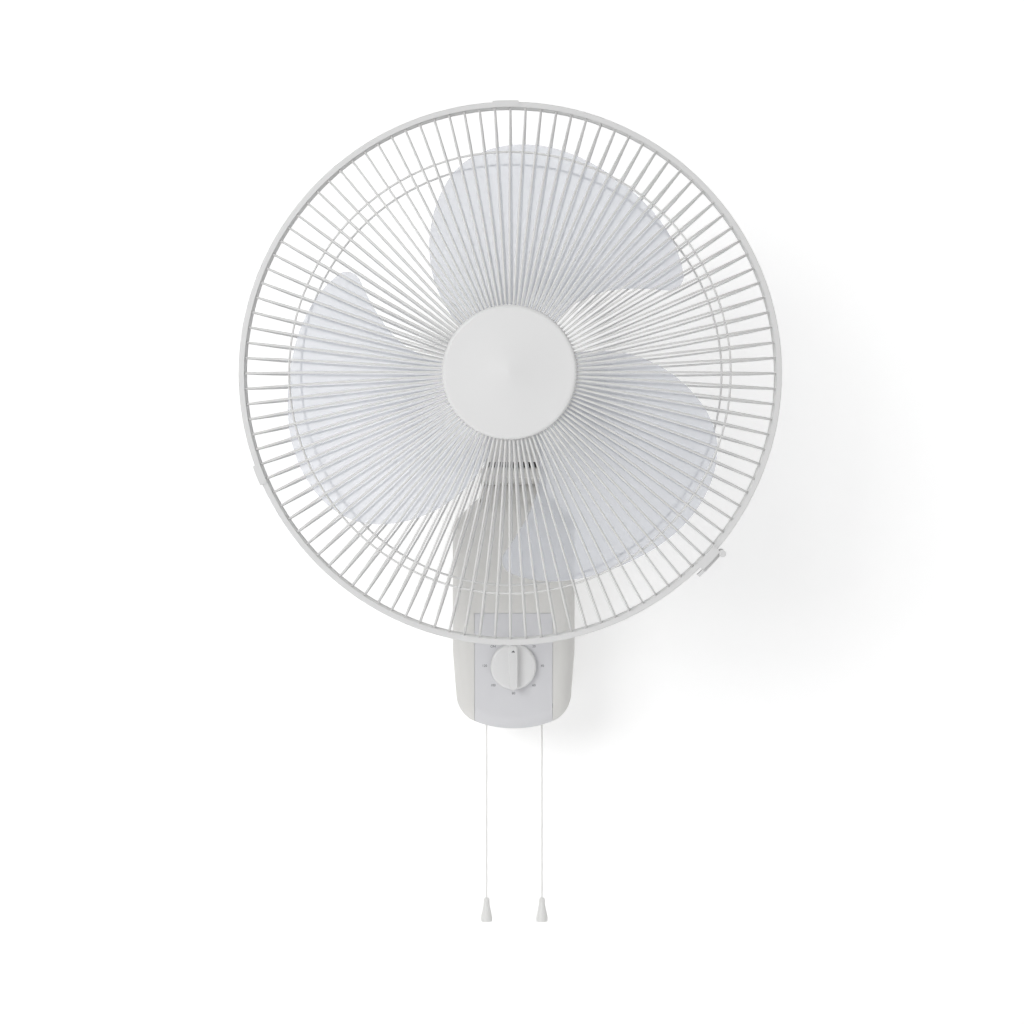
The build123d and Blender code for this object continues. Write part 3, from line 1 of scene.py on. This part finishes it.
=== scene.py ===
"""Finishes for a wall fan: moulded plastics, coated wire, milky blades, pull cords and a dial.

Everything is in metres in the model's own frame: the origin is the middle of the wall screws on
the wall, +Z is up and the room is towards -Y.
"""

from math import cos, pi, sin, tau

import bmesh
import bpy
from bpy.props import FloatProperty, FloatVectorProperty, IntProperty, PointerProperty
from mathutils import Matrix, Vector


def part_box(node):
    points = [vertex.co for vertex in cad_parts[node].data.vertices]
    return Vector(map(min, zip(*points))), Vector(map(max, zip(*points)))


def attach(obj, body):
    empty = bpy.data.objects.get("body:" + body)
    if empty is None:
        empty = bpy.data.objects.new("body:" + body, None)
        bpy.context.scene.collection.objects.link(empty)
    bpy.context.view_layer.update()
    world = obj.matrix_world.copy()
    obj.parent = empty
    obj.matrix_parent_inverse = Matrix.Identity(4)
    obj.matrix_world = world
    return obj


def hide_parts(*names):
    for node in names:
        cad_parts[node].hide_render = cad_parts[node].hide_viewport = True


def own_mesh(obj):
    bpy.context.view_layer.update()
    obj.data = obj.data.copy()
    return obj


bl_info = {
    "name": "Wall Fan",
    "version": (1, 0, 0),
    "blender": (4, 5, 0),
    "location": "3D View > Sidebar > Wall Fan",
    "description": "Finishes a wall fan with a wire guard, a timer and pull cords",
    "category": "Object",
}

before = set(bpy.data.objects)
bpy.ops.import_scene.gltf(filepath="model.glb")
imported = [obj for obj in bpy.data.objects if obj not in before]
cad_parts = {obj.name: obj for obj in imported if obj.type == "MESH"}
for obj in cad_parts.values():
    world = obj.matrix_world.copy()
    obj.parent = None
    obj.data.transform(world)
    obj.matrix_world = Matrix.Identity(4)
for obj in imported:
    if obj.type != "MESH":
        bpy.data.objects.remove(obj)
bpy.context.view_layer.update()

MM = 0.001
PANEL_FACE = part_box("control_panel")[0].y
KNOB_LOW, KNOB_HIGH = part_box("timer_knob")
KNOB_CENTRE = (KNOB_LOW + KNOB_HIGH) / 2
KNOB_RADIUS = (KNOB_HIGH.x - KNOB_LOW.x) / 2
SWITCHES = ("speed", "swing")    # the two pull switches
DIAL_WORDS = ("ON", "0", "20", "40", "60", "80", "100", "120")    # clockwise, ON left of the top
PRINT_FILM = 0.02 * MM    # thickness of the print on the panel

# Refractive indexes of the plastics and of the coat on the wires
ABS_IOR = 1.53
NYLON_IOR = 1.53
SAN_IOR = 1.57
POWDER_COAT_IOR = 1.5


def linear(code):
    """The linear colour, with full alpha, of an sRGB hex value such as #d8d8d8."""
    parts = [int(code[i:i + 2], 16) / 255 for i in (1, 3, 5)]
    return [p / 12.92 if p <= 0.04045 else ((p + 0.055) / 1.055) ** 2.4 for p in parts] + [1.0]


# ---------------------------------------------------------------- settings
def colour_field(name, description, code):
    """A colour setting in linear RGBA."""
    return FloatVectorProperty(
        name=name, description=description, subtype="COLOR", size=4, min=0.0, max=1.0,
        default=linear(code),
    )


def length_field(name, description, metres):
    """A length setting, in metres."""
    return FloatProperty(
        name=name, description=description, unit="LENGTH", min=0.0, default=metres,
    )


class WallFanColours(bpy.types.PropertyGroup):
    """Colours of the fan's finishes."""

    shell: colour_field("Shell", "Warm light grey of the housing and the motor covers", "#e6e5e2")
    panel: colour_field("Panel", "Cooler light grey of the control panel", "#e0e0e3")
    knob: colour_field("Knob", "Light grey of the timer knob", "#ededed")
    cap: colour_field("Cap", "Light grey of the guard's middle cap", "#e9e9e9")
    hoop: colour_field("Hoop", "Light grey of the guard's hoop and clips", "#e3e3e3")
    wire: colour_field("Wire", "Off-white powder coat of the guard wires", "#e2e2e1")
    blade: colour_field("Blade", "Pale blue-grey of the milky blades", "#e4e7ef")
    cord: colour_field("Cord", "Off-white of the braided pull cords", "#f5f5f3")
    ink: colour_field("Ink", "Dark grey of the printed dial", "#55555a")
    pull: colour_field("Pull knob", "Off-white of the pull knobs and the cord eyelets", "#eeeeec")
    black: colour_field("Black", "Black of the inner plastics", "#1c1c1d")
    wall: colour_field("Wall", "Paint of the wall behind the fan", "#fafafa")


class WallFanSizes(bpy.types.PropertyGroup):
    """Sizes of the details and the strength of the lights."""

    cord_diameter: length_field("Cord diameter", "Thickness of a pull cord", 1.5 * MM)
    digit_height: length_field("Digit height", "Height of the numbers on the dial", 3.1 * MM)
    pointer_length: length_field(
        "Pointer length", "Length of the arrow printed on the knob", 1.8 * MM,
    )
    key_watts: FloatProperty(
        name="Key light", description="Power of the large soft light at the left",
        unit="POWER", min=0.0, default=46.0,
    )
    fill_watts: FloatProperty(
        name="Fill light", description="Power of the weak soft light at the right",
        unit="POWER", min=0.0, default=10.0,
    )
    wall_lift: FloatProperty(
        name="Wall lift", description="How much whiter the wall looks to the camera than it is lit",
        min=0.0, default=0.18,
    )
    wall_glow: FloatProperty(
        name="Wall glow", description="Faint light that the wall gives to the fan's back",
        min=0.0, default=0.13,
    )
    sky: FloatProperty(
        name="Sky", description="Strength of the even light from all round", min=0.0, default=0.37,
    )


# ---------------------------------------------------------------- node and mesh helpers
def add_node(tree, kind, inputs=(), **fields):
    """Adds a node, sets its fields, and fills its inputs with values or with links from sockets."""
    made = tree.nodes.new(kind)
    for field, value in fields.items():
        setattr(made, field, value)
    for place, value in dict(inputs).items():
        if isinstance(value, bpy.types.NodeSocket):
            tree.links.new(value, made.inputs[place])
        else:
            made.inputs[place].default_value = value
    return made


def new_material(name):
    """An empty node material and its tree."""
    material = bpy.data.materials.new(name)
    material.use_nodes = True
    material.node_tree.nodes.clear()
    return material, material.node_tree


def uneven_colour(tree, colour, spread, patch):
    """A colour that drifts lighter and darker by a share, over patches of this size in metres."""
    spot = add_node(tree, "ShaderNodeTexCoord")
    drift = add_node(tree, "ShaderNodeTexNoise",
                     {"Vector": spot.outputs["Object"], "Scale": 1 / patch, "Detail": 3.0})
    mix = add_node(tree, "ShaderNodeMix",
                   {"Factor": drift.outputs["Fac"],
                    "A": [c * (1 - spread) for c in colour[:3]] + [1.0],
                    "B": [min(1.0, c * (1 + spread)) for c in colour[:3]] + [1.0]},
                   data_type="RGBA")
    return mix.outputs["Result"]


def fine_bump(tree, grain, height, detail=2.0):
    """A normal roughened by grains of about this size in metres."""
    spot = add_node(tree, "ShaderNodeTexCoord")
    noise = add_node(tree, "ShaderNodeTexNoise",
                     {"Vector": spot.outputs["Object"], "Scale": 1 / grain, "Detail": detail})
    bump = add_node(tree, "ShaderNodeBump",
                    {"Height": noise.outputs["Fac"], "Distance": height, "Strength": 1.0})
    return bump.outputs["Normal"]


def finish_material(tree, **sockets):
    """Closes a tree with one Principled shader whose sockets are given by their names."""
    named = {key.replace("_", " "): value for key, value in sockets.items()}
    shader = add_node(tree, "ShaderNodeBsdfPrincipled", named)
    add_node(tree, "ShaderNodeOutputMaterial", {"Surface": shader.outputs["BSDF"]})


def grained_material(name, colour, spread, patch, grain, height, detail=2.0, **sockets):
    """A material with a slightly uneven colour and a fine grain, both of sizes in metres."""
    material, tree = new_material(name)
    tone = uneven_colour(tree, colour, spread, patch)
    skin = fine_bump(tree, grain, height, detail)
    finish_material(tree, Base_Color=tone, Normal=skin, **sockets)
    return material


def dress(material, *nodes):
    """Gives CAD nodes this material."""
    for name in nodes:
        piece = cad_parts[name]
        piece.data.materials.clear()
        piece.data.materials.append(material)


def mesh_piece(name, build, material):
    """A new object whose mesh is filled by build(bmesh)."""
    data = bpy.data.meshes.new(name)
    shape = bmesh.new()
    build(shape)
    shape.to_mesh(data)
    shape.free()
    data.materials.append(material)
    piece = bpy.data.objects.new(name, data)
    bpy.context.scene.collection.objects.link(piece)
    return piece


# ---------------------------------------------------------------- materials
# Skins whose real grain is 0.1 to 0.5 mm are drawn with grains of about 1 mm, so that they show.
def textured_abs(colours):
    """ABS moulded in a spark-eroded tool: an even, faintly pebbled skin that spreads highlights."""
    return grained_material("textured_abs", colours.shell, spread=0.015, patch=60 * MM,
                            grain=1.1 * MM, height=0.018 * MM, Roughness=0.48, IOR=ABS_IOR)


def satin_abs(name, colour, roughness):
    """ABS moulded in a brushed tool: smoother than the shell, with a low satin sheen."""
    return grained_material(name, colour, spread=0.012, patch=45 * MM,
                            grain=2.0 * MM, height=0.006 * MM, Roughness=roughness, IOR=ABS_IOR)


def gloss_abs(name, colour):
    """ABS from a polished tool: clean small highlights and a slight waviness."""
    return grained_material(name, colour, spread=0.01, patch=30 * MM,
                            grain=6.0 * MM, height=0.02 * MM, Roughness=0.28, IOR=ABS_IOR)


def powder_coat(colours):
    """Powder coat baked on steel wire: off-white with the soft ripple called orange peel."""
    return grained_material("powder_coated_wire", colours.wire, spread=0.02, patch=25 * MM,
                            grain=1.6 * MM, height=0.03 * MM, Roughness=0.36,
                            IOR=POWDER_COAT_IOR)


def milky_san(colours):
    """Moulded milky SAN: pale, smooth, and thin enough to let what is behind it show."""
    return grained_material("milky_san", colours.blade, spread=0.015, patch=50 * MM,
                            grain=8.0 * MM, height=0.02 * MM, Roughness=0.3, IOR=SAN_IOR,
                            Alpha=0.38)


def braided_cord(colours):
    """Braided polyester: strands crossing both ways, so a fine lattice runs round the cord."""
    material, tree = new_material("braided_polyester")
    spot = add_node(tree, "ShaderNodeTexCoord")
    parts = add_node(tree, "ShaderNodeSeparateXYZ", {"Vector": spot.outputs["Object"]})
    repeat = 3 * MM    # a 1.5 mm cord repeats every 2 mm; it is drawn at 3 mm so that it shows
    slope = 2.0
    lattice = []
    for direction in (1, -1):
        run = add_node(tree, "ShaderNodeMath", {0: parts.outputs["X"], 1: direction * slope},
                       operation="MULTIPLY")
        slant = add_node(tree, "ShaderNodeMath", {0: parts.outputs["Z"], 1: run.outputs["Value"]},
                         operation="ADD")
        turn = add_node(tree, "ShaderNodeMath", {0: slant.outputs["Value"], 1: tau / repeat},
                        operation="MULTIPLY")
        lattice.append(add_node(tree, "ShaderNodeMath", {0: turn.outputs["Value"]},
                                operation="SINE"))
    strands = add_node(tree, "ShaderNodeMath",
                       {0: lattice[0].outputs["Value"], 1: lattice[1].outputs["Value"]},
                       operation="MULTIPLY")
    bump = add_node(tree, "ShaderNodeBump",
                    {"Height": strands.outputs["Value"], "Distance": 0.04 * MM, "Strength": 1.0})
    tone = uneven_colour(tree, colours.cord, spread=0.03, patch=4 * MM)
    finish_material(tree, Base_Color=tone, Roughness=0.75, Normal=bump.outputs["Normal"])
    return material


def printing_ink(colours):
    """Pad-printed ink: a thin dull dark film."""
    material, tree = new_material("printing_ink")
    tone = uneven_colour(tree, colours.ink, spread=0.05, patch=3 * MM)
    finish_material(tree, Base_Color=tone, Roughness=0.55)
    return material


def black_nylon(colours):
    """Black nylon, moulded: dark with a broad low sheen."""
    return grained_material("black_nylon", colours.black, spread=0.1, patch=20 * MM,
                            grain=1.5 * MM, height=0.02 * MM, Roughness=0.5, IOR=NYLON_IOR)


def soft_rubber():
    """Moulded rubber: nearly black and dull."""
    return grained_material("soft_rubber", linear("#232323"), spread=0.12, patch=12 * MM,
                            grain=0.9 * MM, height=0.03 * MM, Roughness=0.82)


def zinc_steel():
    """Zinc-plated pressed steel: grey with a faint blue cast and cloudy gloss."""
    material, tree = new_material("zinc_plated_steel")
    patch = 9 * MM    # of the cloudy gloss
    spot = add_node(tree, "ShaderNodeTexCoord")
    cloud = add_node(tree, "ShaderNodeTexNoise",
                     {"Vector": spot.outputs["Object"], "Scale": 1 / patch, "Detail": 4.0})
    gloss = add_node(tree, "ShaderNodeMapRange",
                     {"Value": cloud.outputs["Fac"], "To Min": 0.26, "To Max": 0.46})
    tone = uneven_colour(tree, linear("#b9bcc0"), spread=0.05, patch=14 * MM)
    skin = fine_bump(tree, grain=1.2 * MM, height=0.01 * MM)
    finish_material(tree, Base_Color=tone, Metallic=1.0, Roughness=gloss.outputs["Result"],
                    Normal=skin)
    return material


def cast_aluminium():
    """Die-cast aluminium: pale metal with a sandy skin."""
    return grained_material("die_cast_aluminium", linear("#c3c3c2"), spread=0.06, patch=18 * MM,
                            grain=1.3 * MM, height=0.06 * MM, detail=4.0, Metallic=1.0,
                            Roughness=0.52)


def core_plates():
    """Stacked electrical steel, punched: grey metal with fine lines across the stack."""
    material, tree = new_material("core_plates")
    spacing = 1.5 * MM    # the plates are 0.5 mm thick; they are drawn at 1.5 mm so that they show
    spot = add_node(tree, "ShaderNodeTexCoord")
    lines = add_node(tree, "ShaderNodeTexWave",
                     {"Vector": spot.outputs["Object"], "Scale": 1 / (spacing * tau)},
                     bands_direction="Y")
    bump = add_node(tree, "ShaderNodeBump",
                    {"Height": lines.outputs["Fac"], "Distance": 0.15 * MM, "Strength": 1.0})
    tone = uneven_colour(tree, linear("#8e9092"), spread=0.06, patch=10 * MM)
    finish_material(tree, Base_Color=tone, Metallic=1.0, Roughness=0.42,
                    Normal=bump.outputs["Normal"])
    return material


def copper_winding():
    """Enamelled copper wire in bundles: reddish brown with fine glossy turns."""
    material, tree = new_material("enamelled_copper")
    spacing = 2.0 * MM    # the wire is 0.4 mm thick; its turns are drawn at 2 mm so that they show
    spot = add_node(tree, "ShaderNodeTexCoord")
    turns = add_node(tree, "ShaderNodeTexWave",
                     {"Vector": spot.outputs["Object"], "Scale": 1 / (spacing * tau),
                      "Distortion": 1.5},
                     wave_type="RINGS", rings_direction="Y")
    bump = add_node(tree, "ShaderNodeBump",
                    {"Height": turns.outputs["Fac"], "Distance": 0.3 * MM, "Strength": 1.0})
    tone = uneven_colour(tree, linear("#a2552c"), spread=0.12, patch=6 * MM)
    finish_material(tree, Base_Color=tone, Metallic=1.0, Roughness=0.35,
                    Normal=bump.outputs["Normal"])
    return material


def sintered_bronze():
    """Sintered bronze: a dull yellow-brown metal, finely porous."""
    return grained_material("sintered_bronze", linear("#9c7a4a"), spread=0.08, patch=4 * MM,
                            grain=0.8 * MM, height=0.04 * MM, Metallic=1.0, Roughness=0.5)


# ---------------------------------------------------------------- operators
class WallFanStep(bpy.types.Operator):
    """What the fan's operators share."""

    bl_options = {"REGISTER"}

    def settings(self, context):
        """The colours and the sizes."""
        return context.scene.wall_fan_colours, context.scene.wall_fan_sizes


class WALLFAN_OT_stage(WallFanStep):
    """Set up the camera, the wall, the floor and the lights."""

    bl_idname = "wall_fan.stage"
    bl_label = "Stage"

    def camera(self, context):
        """A long lens square to the wall, shifted to frame the fan a little above the middle."""
        image_side = 1024
        focal_pixels = 1977
        axis_pixel = (541, 420)    # where the lens's axis meets the picture
        place = (0.0255, -1.940, 0.1812)
        data = bpy.data.cameras.new("camera")
        data.sensor_width = 36
        data.lens = data.sensor_width * focal_pixels / image_side
        data.shift_x = 0.5 - axis_pixel[0] / image_side
        data.shift_y = axis_pixel[1] / image_side - 0.5
        data.clip_end = 50
        eye = bpy.data.objects.new("camera", data)
        eye.location = place
        eye.rotation_euler = (pi / 2, 0, 0)
        context.scene.collection.objects.link(eye)
        context.scene.camera = eye

    def wall_material(self, colours, sizes):
        """White wall paint that shows a soft shadow in the room and is clear from behind.

        Its faint glow reaches the fan's back, which lies too close to the wall for any lamp.
        """
        material, tree = new_material("wall_paint")
        stipple = 4 * MM    # left by the paint roller
        spot = add_node(tree, "ShaderNodeTexCoord")
        roller = add_node(tree, "ShaderNodeTexNoise",
                          {"Vector": spot.outputs["Object"], "Scale": 1 / stipple, "Detail": 2.0})
        bump = add_node(tree, "ShaderNodeBump",
                        {"Height": roller.outputs["Fac"], "Distance": 0.01 * MM})
        paint = add_node(tree, "ShaderNodeBsdfDiffuse",
                         {"Color": colours.wall, "Normal": bump.outputs["Normal"]})
        rays = add_node(tree, "ShaderNodeLightPath")
        lift = add_node(tree, "ShaderNodeMath",
                        {0: rays.outputs["Is Camera Ray"], 1: sizes.wall_lift, 2: sizes.wall_glow},
                        operation="MULTIPLY_ADD")
        glow = add_node(tree, "ShaderNodeEmission",
                        {"Color": colours.wall, "Strength": lift.outputs["Value"]})
        lit = add_node(tree, "ShaderNodeAddShader",
                       {0: paint.outputs["BSDF"], 1: glow.outputs[0]})
        clear = add_node(tree, "ShaderNodeBsdfTransparent")
        side = add_node(tree, "ShaderNodeNewGeometry")
        both = add_node(tree, "ShaderNodeMixShader",
                        {0: side.outputs["Backfacing"], 1: lit.outputs[0], 2: clear.outputs[0]})
        add_node(tree, "ShaderNodeOutputMaterial", {"Surface": both.outputs[0]})
        return material

    def sheet(self, name, corners, material):
        """A flat stage sheet that faces the side from which its corners run anticlockwise."""
        def build(shape):
            shape.faces.new([shape.verts.new(corner) for corner in corners])
        piece = mesh_piece(name, build, material)

    def light(self, context, name, place, aim, side, watts):
        """A square soft light that points at a spot."""
        data = bpy.data.lights.new(name, "AREA")
        data.shape = "SQUARE"
        data.size = side
        data.energy = watts
        lamp = bpy.data.objects.new(name, data)
        lamp.location = place
        lamp.rotation_euler = (Vector(aim) - Vector(place)).to_track_quat("-Z", "Y").to_euler()
        context.scene.collection.objects.link(lamp)

    def sky(self, context, strength):
        """An even light from all round, which the camera sees as white."""
        world = bpy.data.worlds.new("studio")
        context.scene.world = world
        world.use_nodes = True
        tree = world.node_tree
        tree.nodes.clear()
        rays = add_node(tree, "ShaderNodeLightPath")
        seen = add_node(tree, "ShaderNodeMath",
                        {0: rays.outputs["Is Camera Ray"], 1: rays.outputs["Is Transmission Ray"]},
                        operation="MAXIMUM")
        level = add_node(tree, "ShaderNodeMapRange",
                         {"Value": seen.outputs["Value"], "To Min": strength, "To Max": 1.0})
        sky = add_node(tree, "ShaderNodeBackground", {"Strength": level.outputs["Result"]})
        add_node(tree, "ShaderNodeOutputWorld", {"Surface": sky.outputs[0]})

    def execute(self, context):
        colours, sizes = self.settings(context)
        self.camera(context)
        paint = self.wall_material(colours, sizes)
        back = 0.6 * MM    # the wall stands just clear of the fan's back
        ground, far = -1.2, 3.0
        self.sheet("wall", [(-far, back, ground), (far, back, ground), (far, back, far),
                            (-far, back, far)], paint)
        self.sheet("floor", [(-far, -far, ground), (far, -far, ground), (far, back, ground),
                             (-far, back, ground)], paint)
        middle = (0, -0.15, 0.1)    # of the fan
        self.light(context, "key", place=(-1.5, -2.8, 1.1), aim=middle, side=1.6,
                   watts=sizes.key_watts)
        self.light(context, "fill", place=(1.5, -2.5, 0.8), aim=middle, side=2.4,
                   watts=sizes.fill_watts)
        self.sky(context, sizes.sky)
        context.scene.view_settings.view_transform = "Standard"
        return {"FINISHED"}


class WALLFAN_OT_shells(WallFanStep):
    """Finish the housing, the knuckle and the motor covers."""

    bl_idname = "wall_fan.shells"
    bl_label = "Shells"

    def execute(self, context):
        colours, _ = self.settings(context)
        dress(textured_abs(colours), "rear_housing", "front_housing", "neck_front_shell",
              "neck_rear_shell", "motor_rear_cover", "motor_front_cover")
        dress(satin_abs("satin_panel_abs", colours.panel, roughness=0.42), "control_panel")
        return {"FINISHED"}


class WALLFAN_OT_dial(WallFanStep):
    """Finish the timer knob and print the dial round it."""

    bl_idname = "wall_fan.dial"
    bl_label = "Dial"

    marks: IntProperty(
        name="Marks", description="Places printed on the dial, an eighth of a turn apart",
        default=len(DIAL_WORDS), min=2, max=len(DIAL_WORDS),
    )

    def text(self, context, name, words, place, ink):
        """Flat lettering on the panel."""
        data = bpy.data.curves.new(name, "FONT")
        data.body = words
        data.size = context.scene.wall_fan_sizes.digit_height
        data.align_x = "CENTER"
        data.align_y = "CENTER"
        data.extrude = PRINT_FILM
        data.materials.append(ink)
        piece = bpy.data.objects.new(name, data)
        piece.location = place
        piece.rotation_euler = (pi / 2, 0, 0)
        context.scene.collection.objects.link(piece)
        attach(piece, "wall_unit")

    def pointer(self, length, ink):
        """The small arrow printed near the rim of the knob's bar."""
        tip = KNOB_RADIUS - 5 * MM
        film = 0.06 * MM

        def build(shape):
            outline = [(-length, tip - length), (0, tip), (length, tip - length)]
            face = shape.faces.new([shape.verts.new((x, 0, z)) for x, z in outline])
            lifted = bmesh.ops.extrude_face_region(shape, geom=[face])["geom"]
            bmesh.ops.translate(shape, vec=(0, -film, 0),
                                verts=[v for v in lifted if isinstance(v, bmesh.types.BMVert)])
            bmesh.ops.recalc_face_normals(shape, faces=shape.faces)

        piece = mesh_piece("knob_pointer", build, ink)
        piece.location = (KNOB_CENTRE.x, KNOB_LOW.y, KNOB_CENTRE.z)
        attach(piece, "timer")

    def execute(self, context):
        colours, sizes = self.settings(context)
        ink = printing_ink(colours)
        dress(satin_abs("satin_knob_abs", colours.knob, roughness=0.36), "timer_knob")
        gap = 2.8 * MM    # from the knob's rim to the numbers
        widening = 1.05    # the numbers stand on a slightly wide oval
        reach = KNOB_RADIUS + gap + sizes.digit_height / 2
        for number, word in enumerate(DIAL_WORDS[:self.marks]):
            angle = tau / len(DIAL_WORDS) * (number - 1)
            place = (KNOB_CENTRE.x + sin(angle) * reach * widening, PANEL_FACE - PRINT_FILM,
                     KNOB_CENTRE.z + cos(angle) * reach)
            self.text(context, f"dial_{word}", word, place, ink)
        self.pointer(sizes.pointer_length, ink)
        return {"FINISHED"}


class WALLFAN_OT_guard(WallFanStep):
    """Finish the guards, the hoop, its clips and the middle cap."""

    bl_idname = "wall_fan.guard"
    bl_label = "Guard"

    def execute(self, context):
        colours, _ = self.settings(context)
        dress(powder_coat(colours), "front_guard", "rear_guard")
        dress(gloss_abs("gloss_hoop_abs", colours.hoop), "guard_hoop", "hoop_clips", "latch_base",
              "latch_lever")
        dress(satin_abs("satin_cap_abs", colours.cap, roughness=0.5), "centre_cap")
        return {"FINISHED"}


class WALLFAN_OT_blades(WallFanStep):
    """Finish the blades."""

    bl_idname = "wall_fan.blades"
    bl_label = "Blades"

    def execute(self, context):
        colours, _ = self.settings(context)
        dress(milky_san(colours), "blade")
        return {"FINISHED"}


class WALLFAN_OT_pulls(WallFanStep):
    """Hang the two pull cords and finish their knobs."""

    bl_idname = "wall_fan.pulls"
    bl_label = "Pull cords"

    def execute(self, context):
        colours, sizes = self.settings(context)
        braid = braided_cord(colours)
        dress(gloss_abs("gloss_pull_abs", colours.pull), "speed_pull_knob", "swing_pull_knob",
              "cord_eyelets")
        for which in SWITCHES:
            low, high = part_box(f"{which}_cord")
            x, y = (low.x + high.x) / 2, (low.y + high.y) / 2
            data = bpy.data.curves.new(f"{which}_braid", "CURVE")
            data.dimensions = "3D"
            data.bevel_depth = sizes.cord_diameter / 2
            data.bevel_resolution = 4
            data.use_fill_caps = True
            line = data.splines.new("NURBS")
            points = [(x, y, high.z), (x, y, (high.z + low.z) / 2), (x, y, low.z)]
            line.points.add(len(points) - 1)
            for point, place in zip(line.points, points):
                point.co = (*place, 1)
            line.order_u = 3
            line.use_endpoint_u = True
            data.materials.append(braid)
            piece = bpy.data.objects.new(f"{which}_braid", data)
            context.scene.collection.objects.link(piece)
            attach(piece, f"{which}_pull_unit")
            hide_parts(f"{which}_cord")
        return {"FINISHED"}


class WALLFAN_OT_inside(WallFanStep):
    """Finish the metalwork, the black plastics and what lies inside."""

    bl_idname = "wall_fan.inside"
    bl_label = "Inside"

    def return_spring(self, context, which, steel):
        """The coil of a pull switch's spring, copied as a piece of its own that rides on the wall
        unit.
        """
        node = f"{which}_spring"
        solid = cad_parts[node]
        piece = bpy.data.objects.new(f"{which}_return_spring", solid.data.copy())
        piece.matrix_world = solid.matrix_world
        piece.data.materials.clear()
        piece.data.materials.append(steel)
        context.scene.collection.objects.link(piece)
        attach(piece, "wall_unit")
        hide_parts(node)
        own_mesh(piece)

    def execute(self, context):
        colours, _ = self.settings(context)
        dress(black_nylon(colours), "guard_nut", "cap_plate", "blade_nut", "timer_case",
              "speed_switch", "swing_switch", "terminal_block", "post_washers", "dust_ring",
              "speed_plunger", "swing_plunger")
        steel = zinc_steel()
        for which in SWITCHES:
            self.return_spring(context, which, steel)
        dress(steel, "wall_plate", "housing_screws", "tilt_yoke", "tilt_bracket", "tilt_pin",
              "tilt_washers", "pan_post", "swing_arm", "post_nut", "swing_crank", "motor_bolts",
              "cover_screws", "motor_shaft", "drive_pin", "timer_shaft", "shaft_bearings",
              "swing_motor")
        dress(cast_aluminium(), "motor_frame", "rear_bell", "front_bell")
        dress(core_plates(), "stator_core", "rotor_core")
        dress(copper_winding(), "stator_windings")
        dress(sintered_bronze(), "pan_bush")
        dress(soft_rubber(), "cable_inlet")
        dress(gloss_abs("gloss_capacitor_box", linear("#26262a")), "capacitor")
        return {"FINISHED"}


STEPS = (WALLFAN_OT_stage, WALLFAN_OT_shells, WALLFAN_OT_dial, WALLFAN_OT_guard,
         WALLFAN_OT_blades, WALLFAN_OT_pulls, WALLFAN_OT_inside)


class WALLFAN_PT_sidebar(bpy.types.Panel):
    """The fan's settings and its steps."""

    bl_idname = "WALLFAN_PT_sidebar"
    bl_label = "Wall Fan"
    bl_space_type = "VIEW_3D"
    bl_region_type = "UI"
    bl_category = "Wall Fan"

    def draw(self, context):
        for group in (context.scene.wall_fan_colours, context.scene.wall_fan_sizes):
            for field in group.bl_rna.properties.keys():
                if field not in ("rna_type", "name"):
                    self.layout.prop(group, field)
        for step in STEPS:
            self.layout.operator(step.bl_idname)


CLASSES = (WallFanColours, WallFanSizes, *STEPS, WALLFAN_PT_sidebar)


def register():
    for cls in CLASSES:
        bpy.utils.register_class(cls)
    bpy.types.Scene.wall_fan_colours = PointerProperty(type=WallFanColours)
    bpy.types.Scene.wall_fan_sizes = PointerProperty(type=WallFanSizes)


def unregister():
    del bpy.types.Scene.wall_fan_sizes
    del bpy.types.Scene.wall_fan_colours
    for cls in reversed(CLASSES):
        bpy.utils.unregister_class(cls)


def main():
    """Runs each step."""
    register()
    for step in STEPS:
        group, action = step.bl_idname.split(".")
        getattr(getattr(bpy.ops, group), action)()


if __name__ == "__main__":
    main()
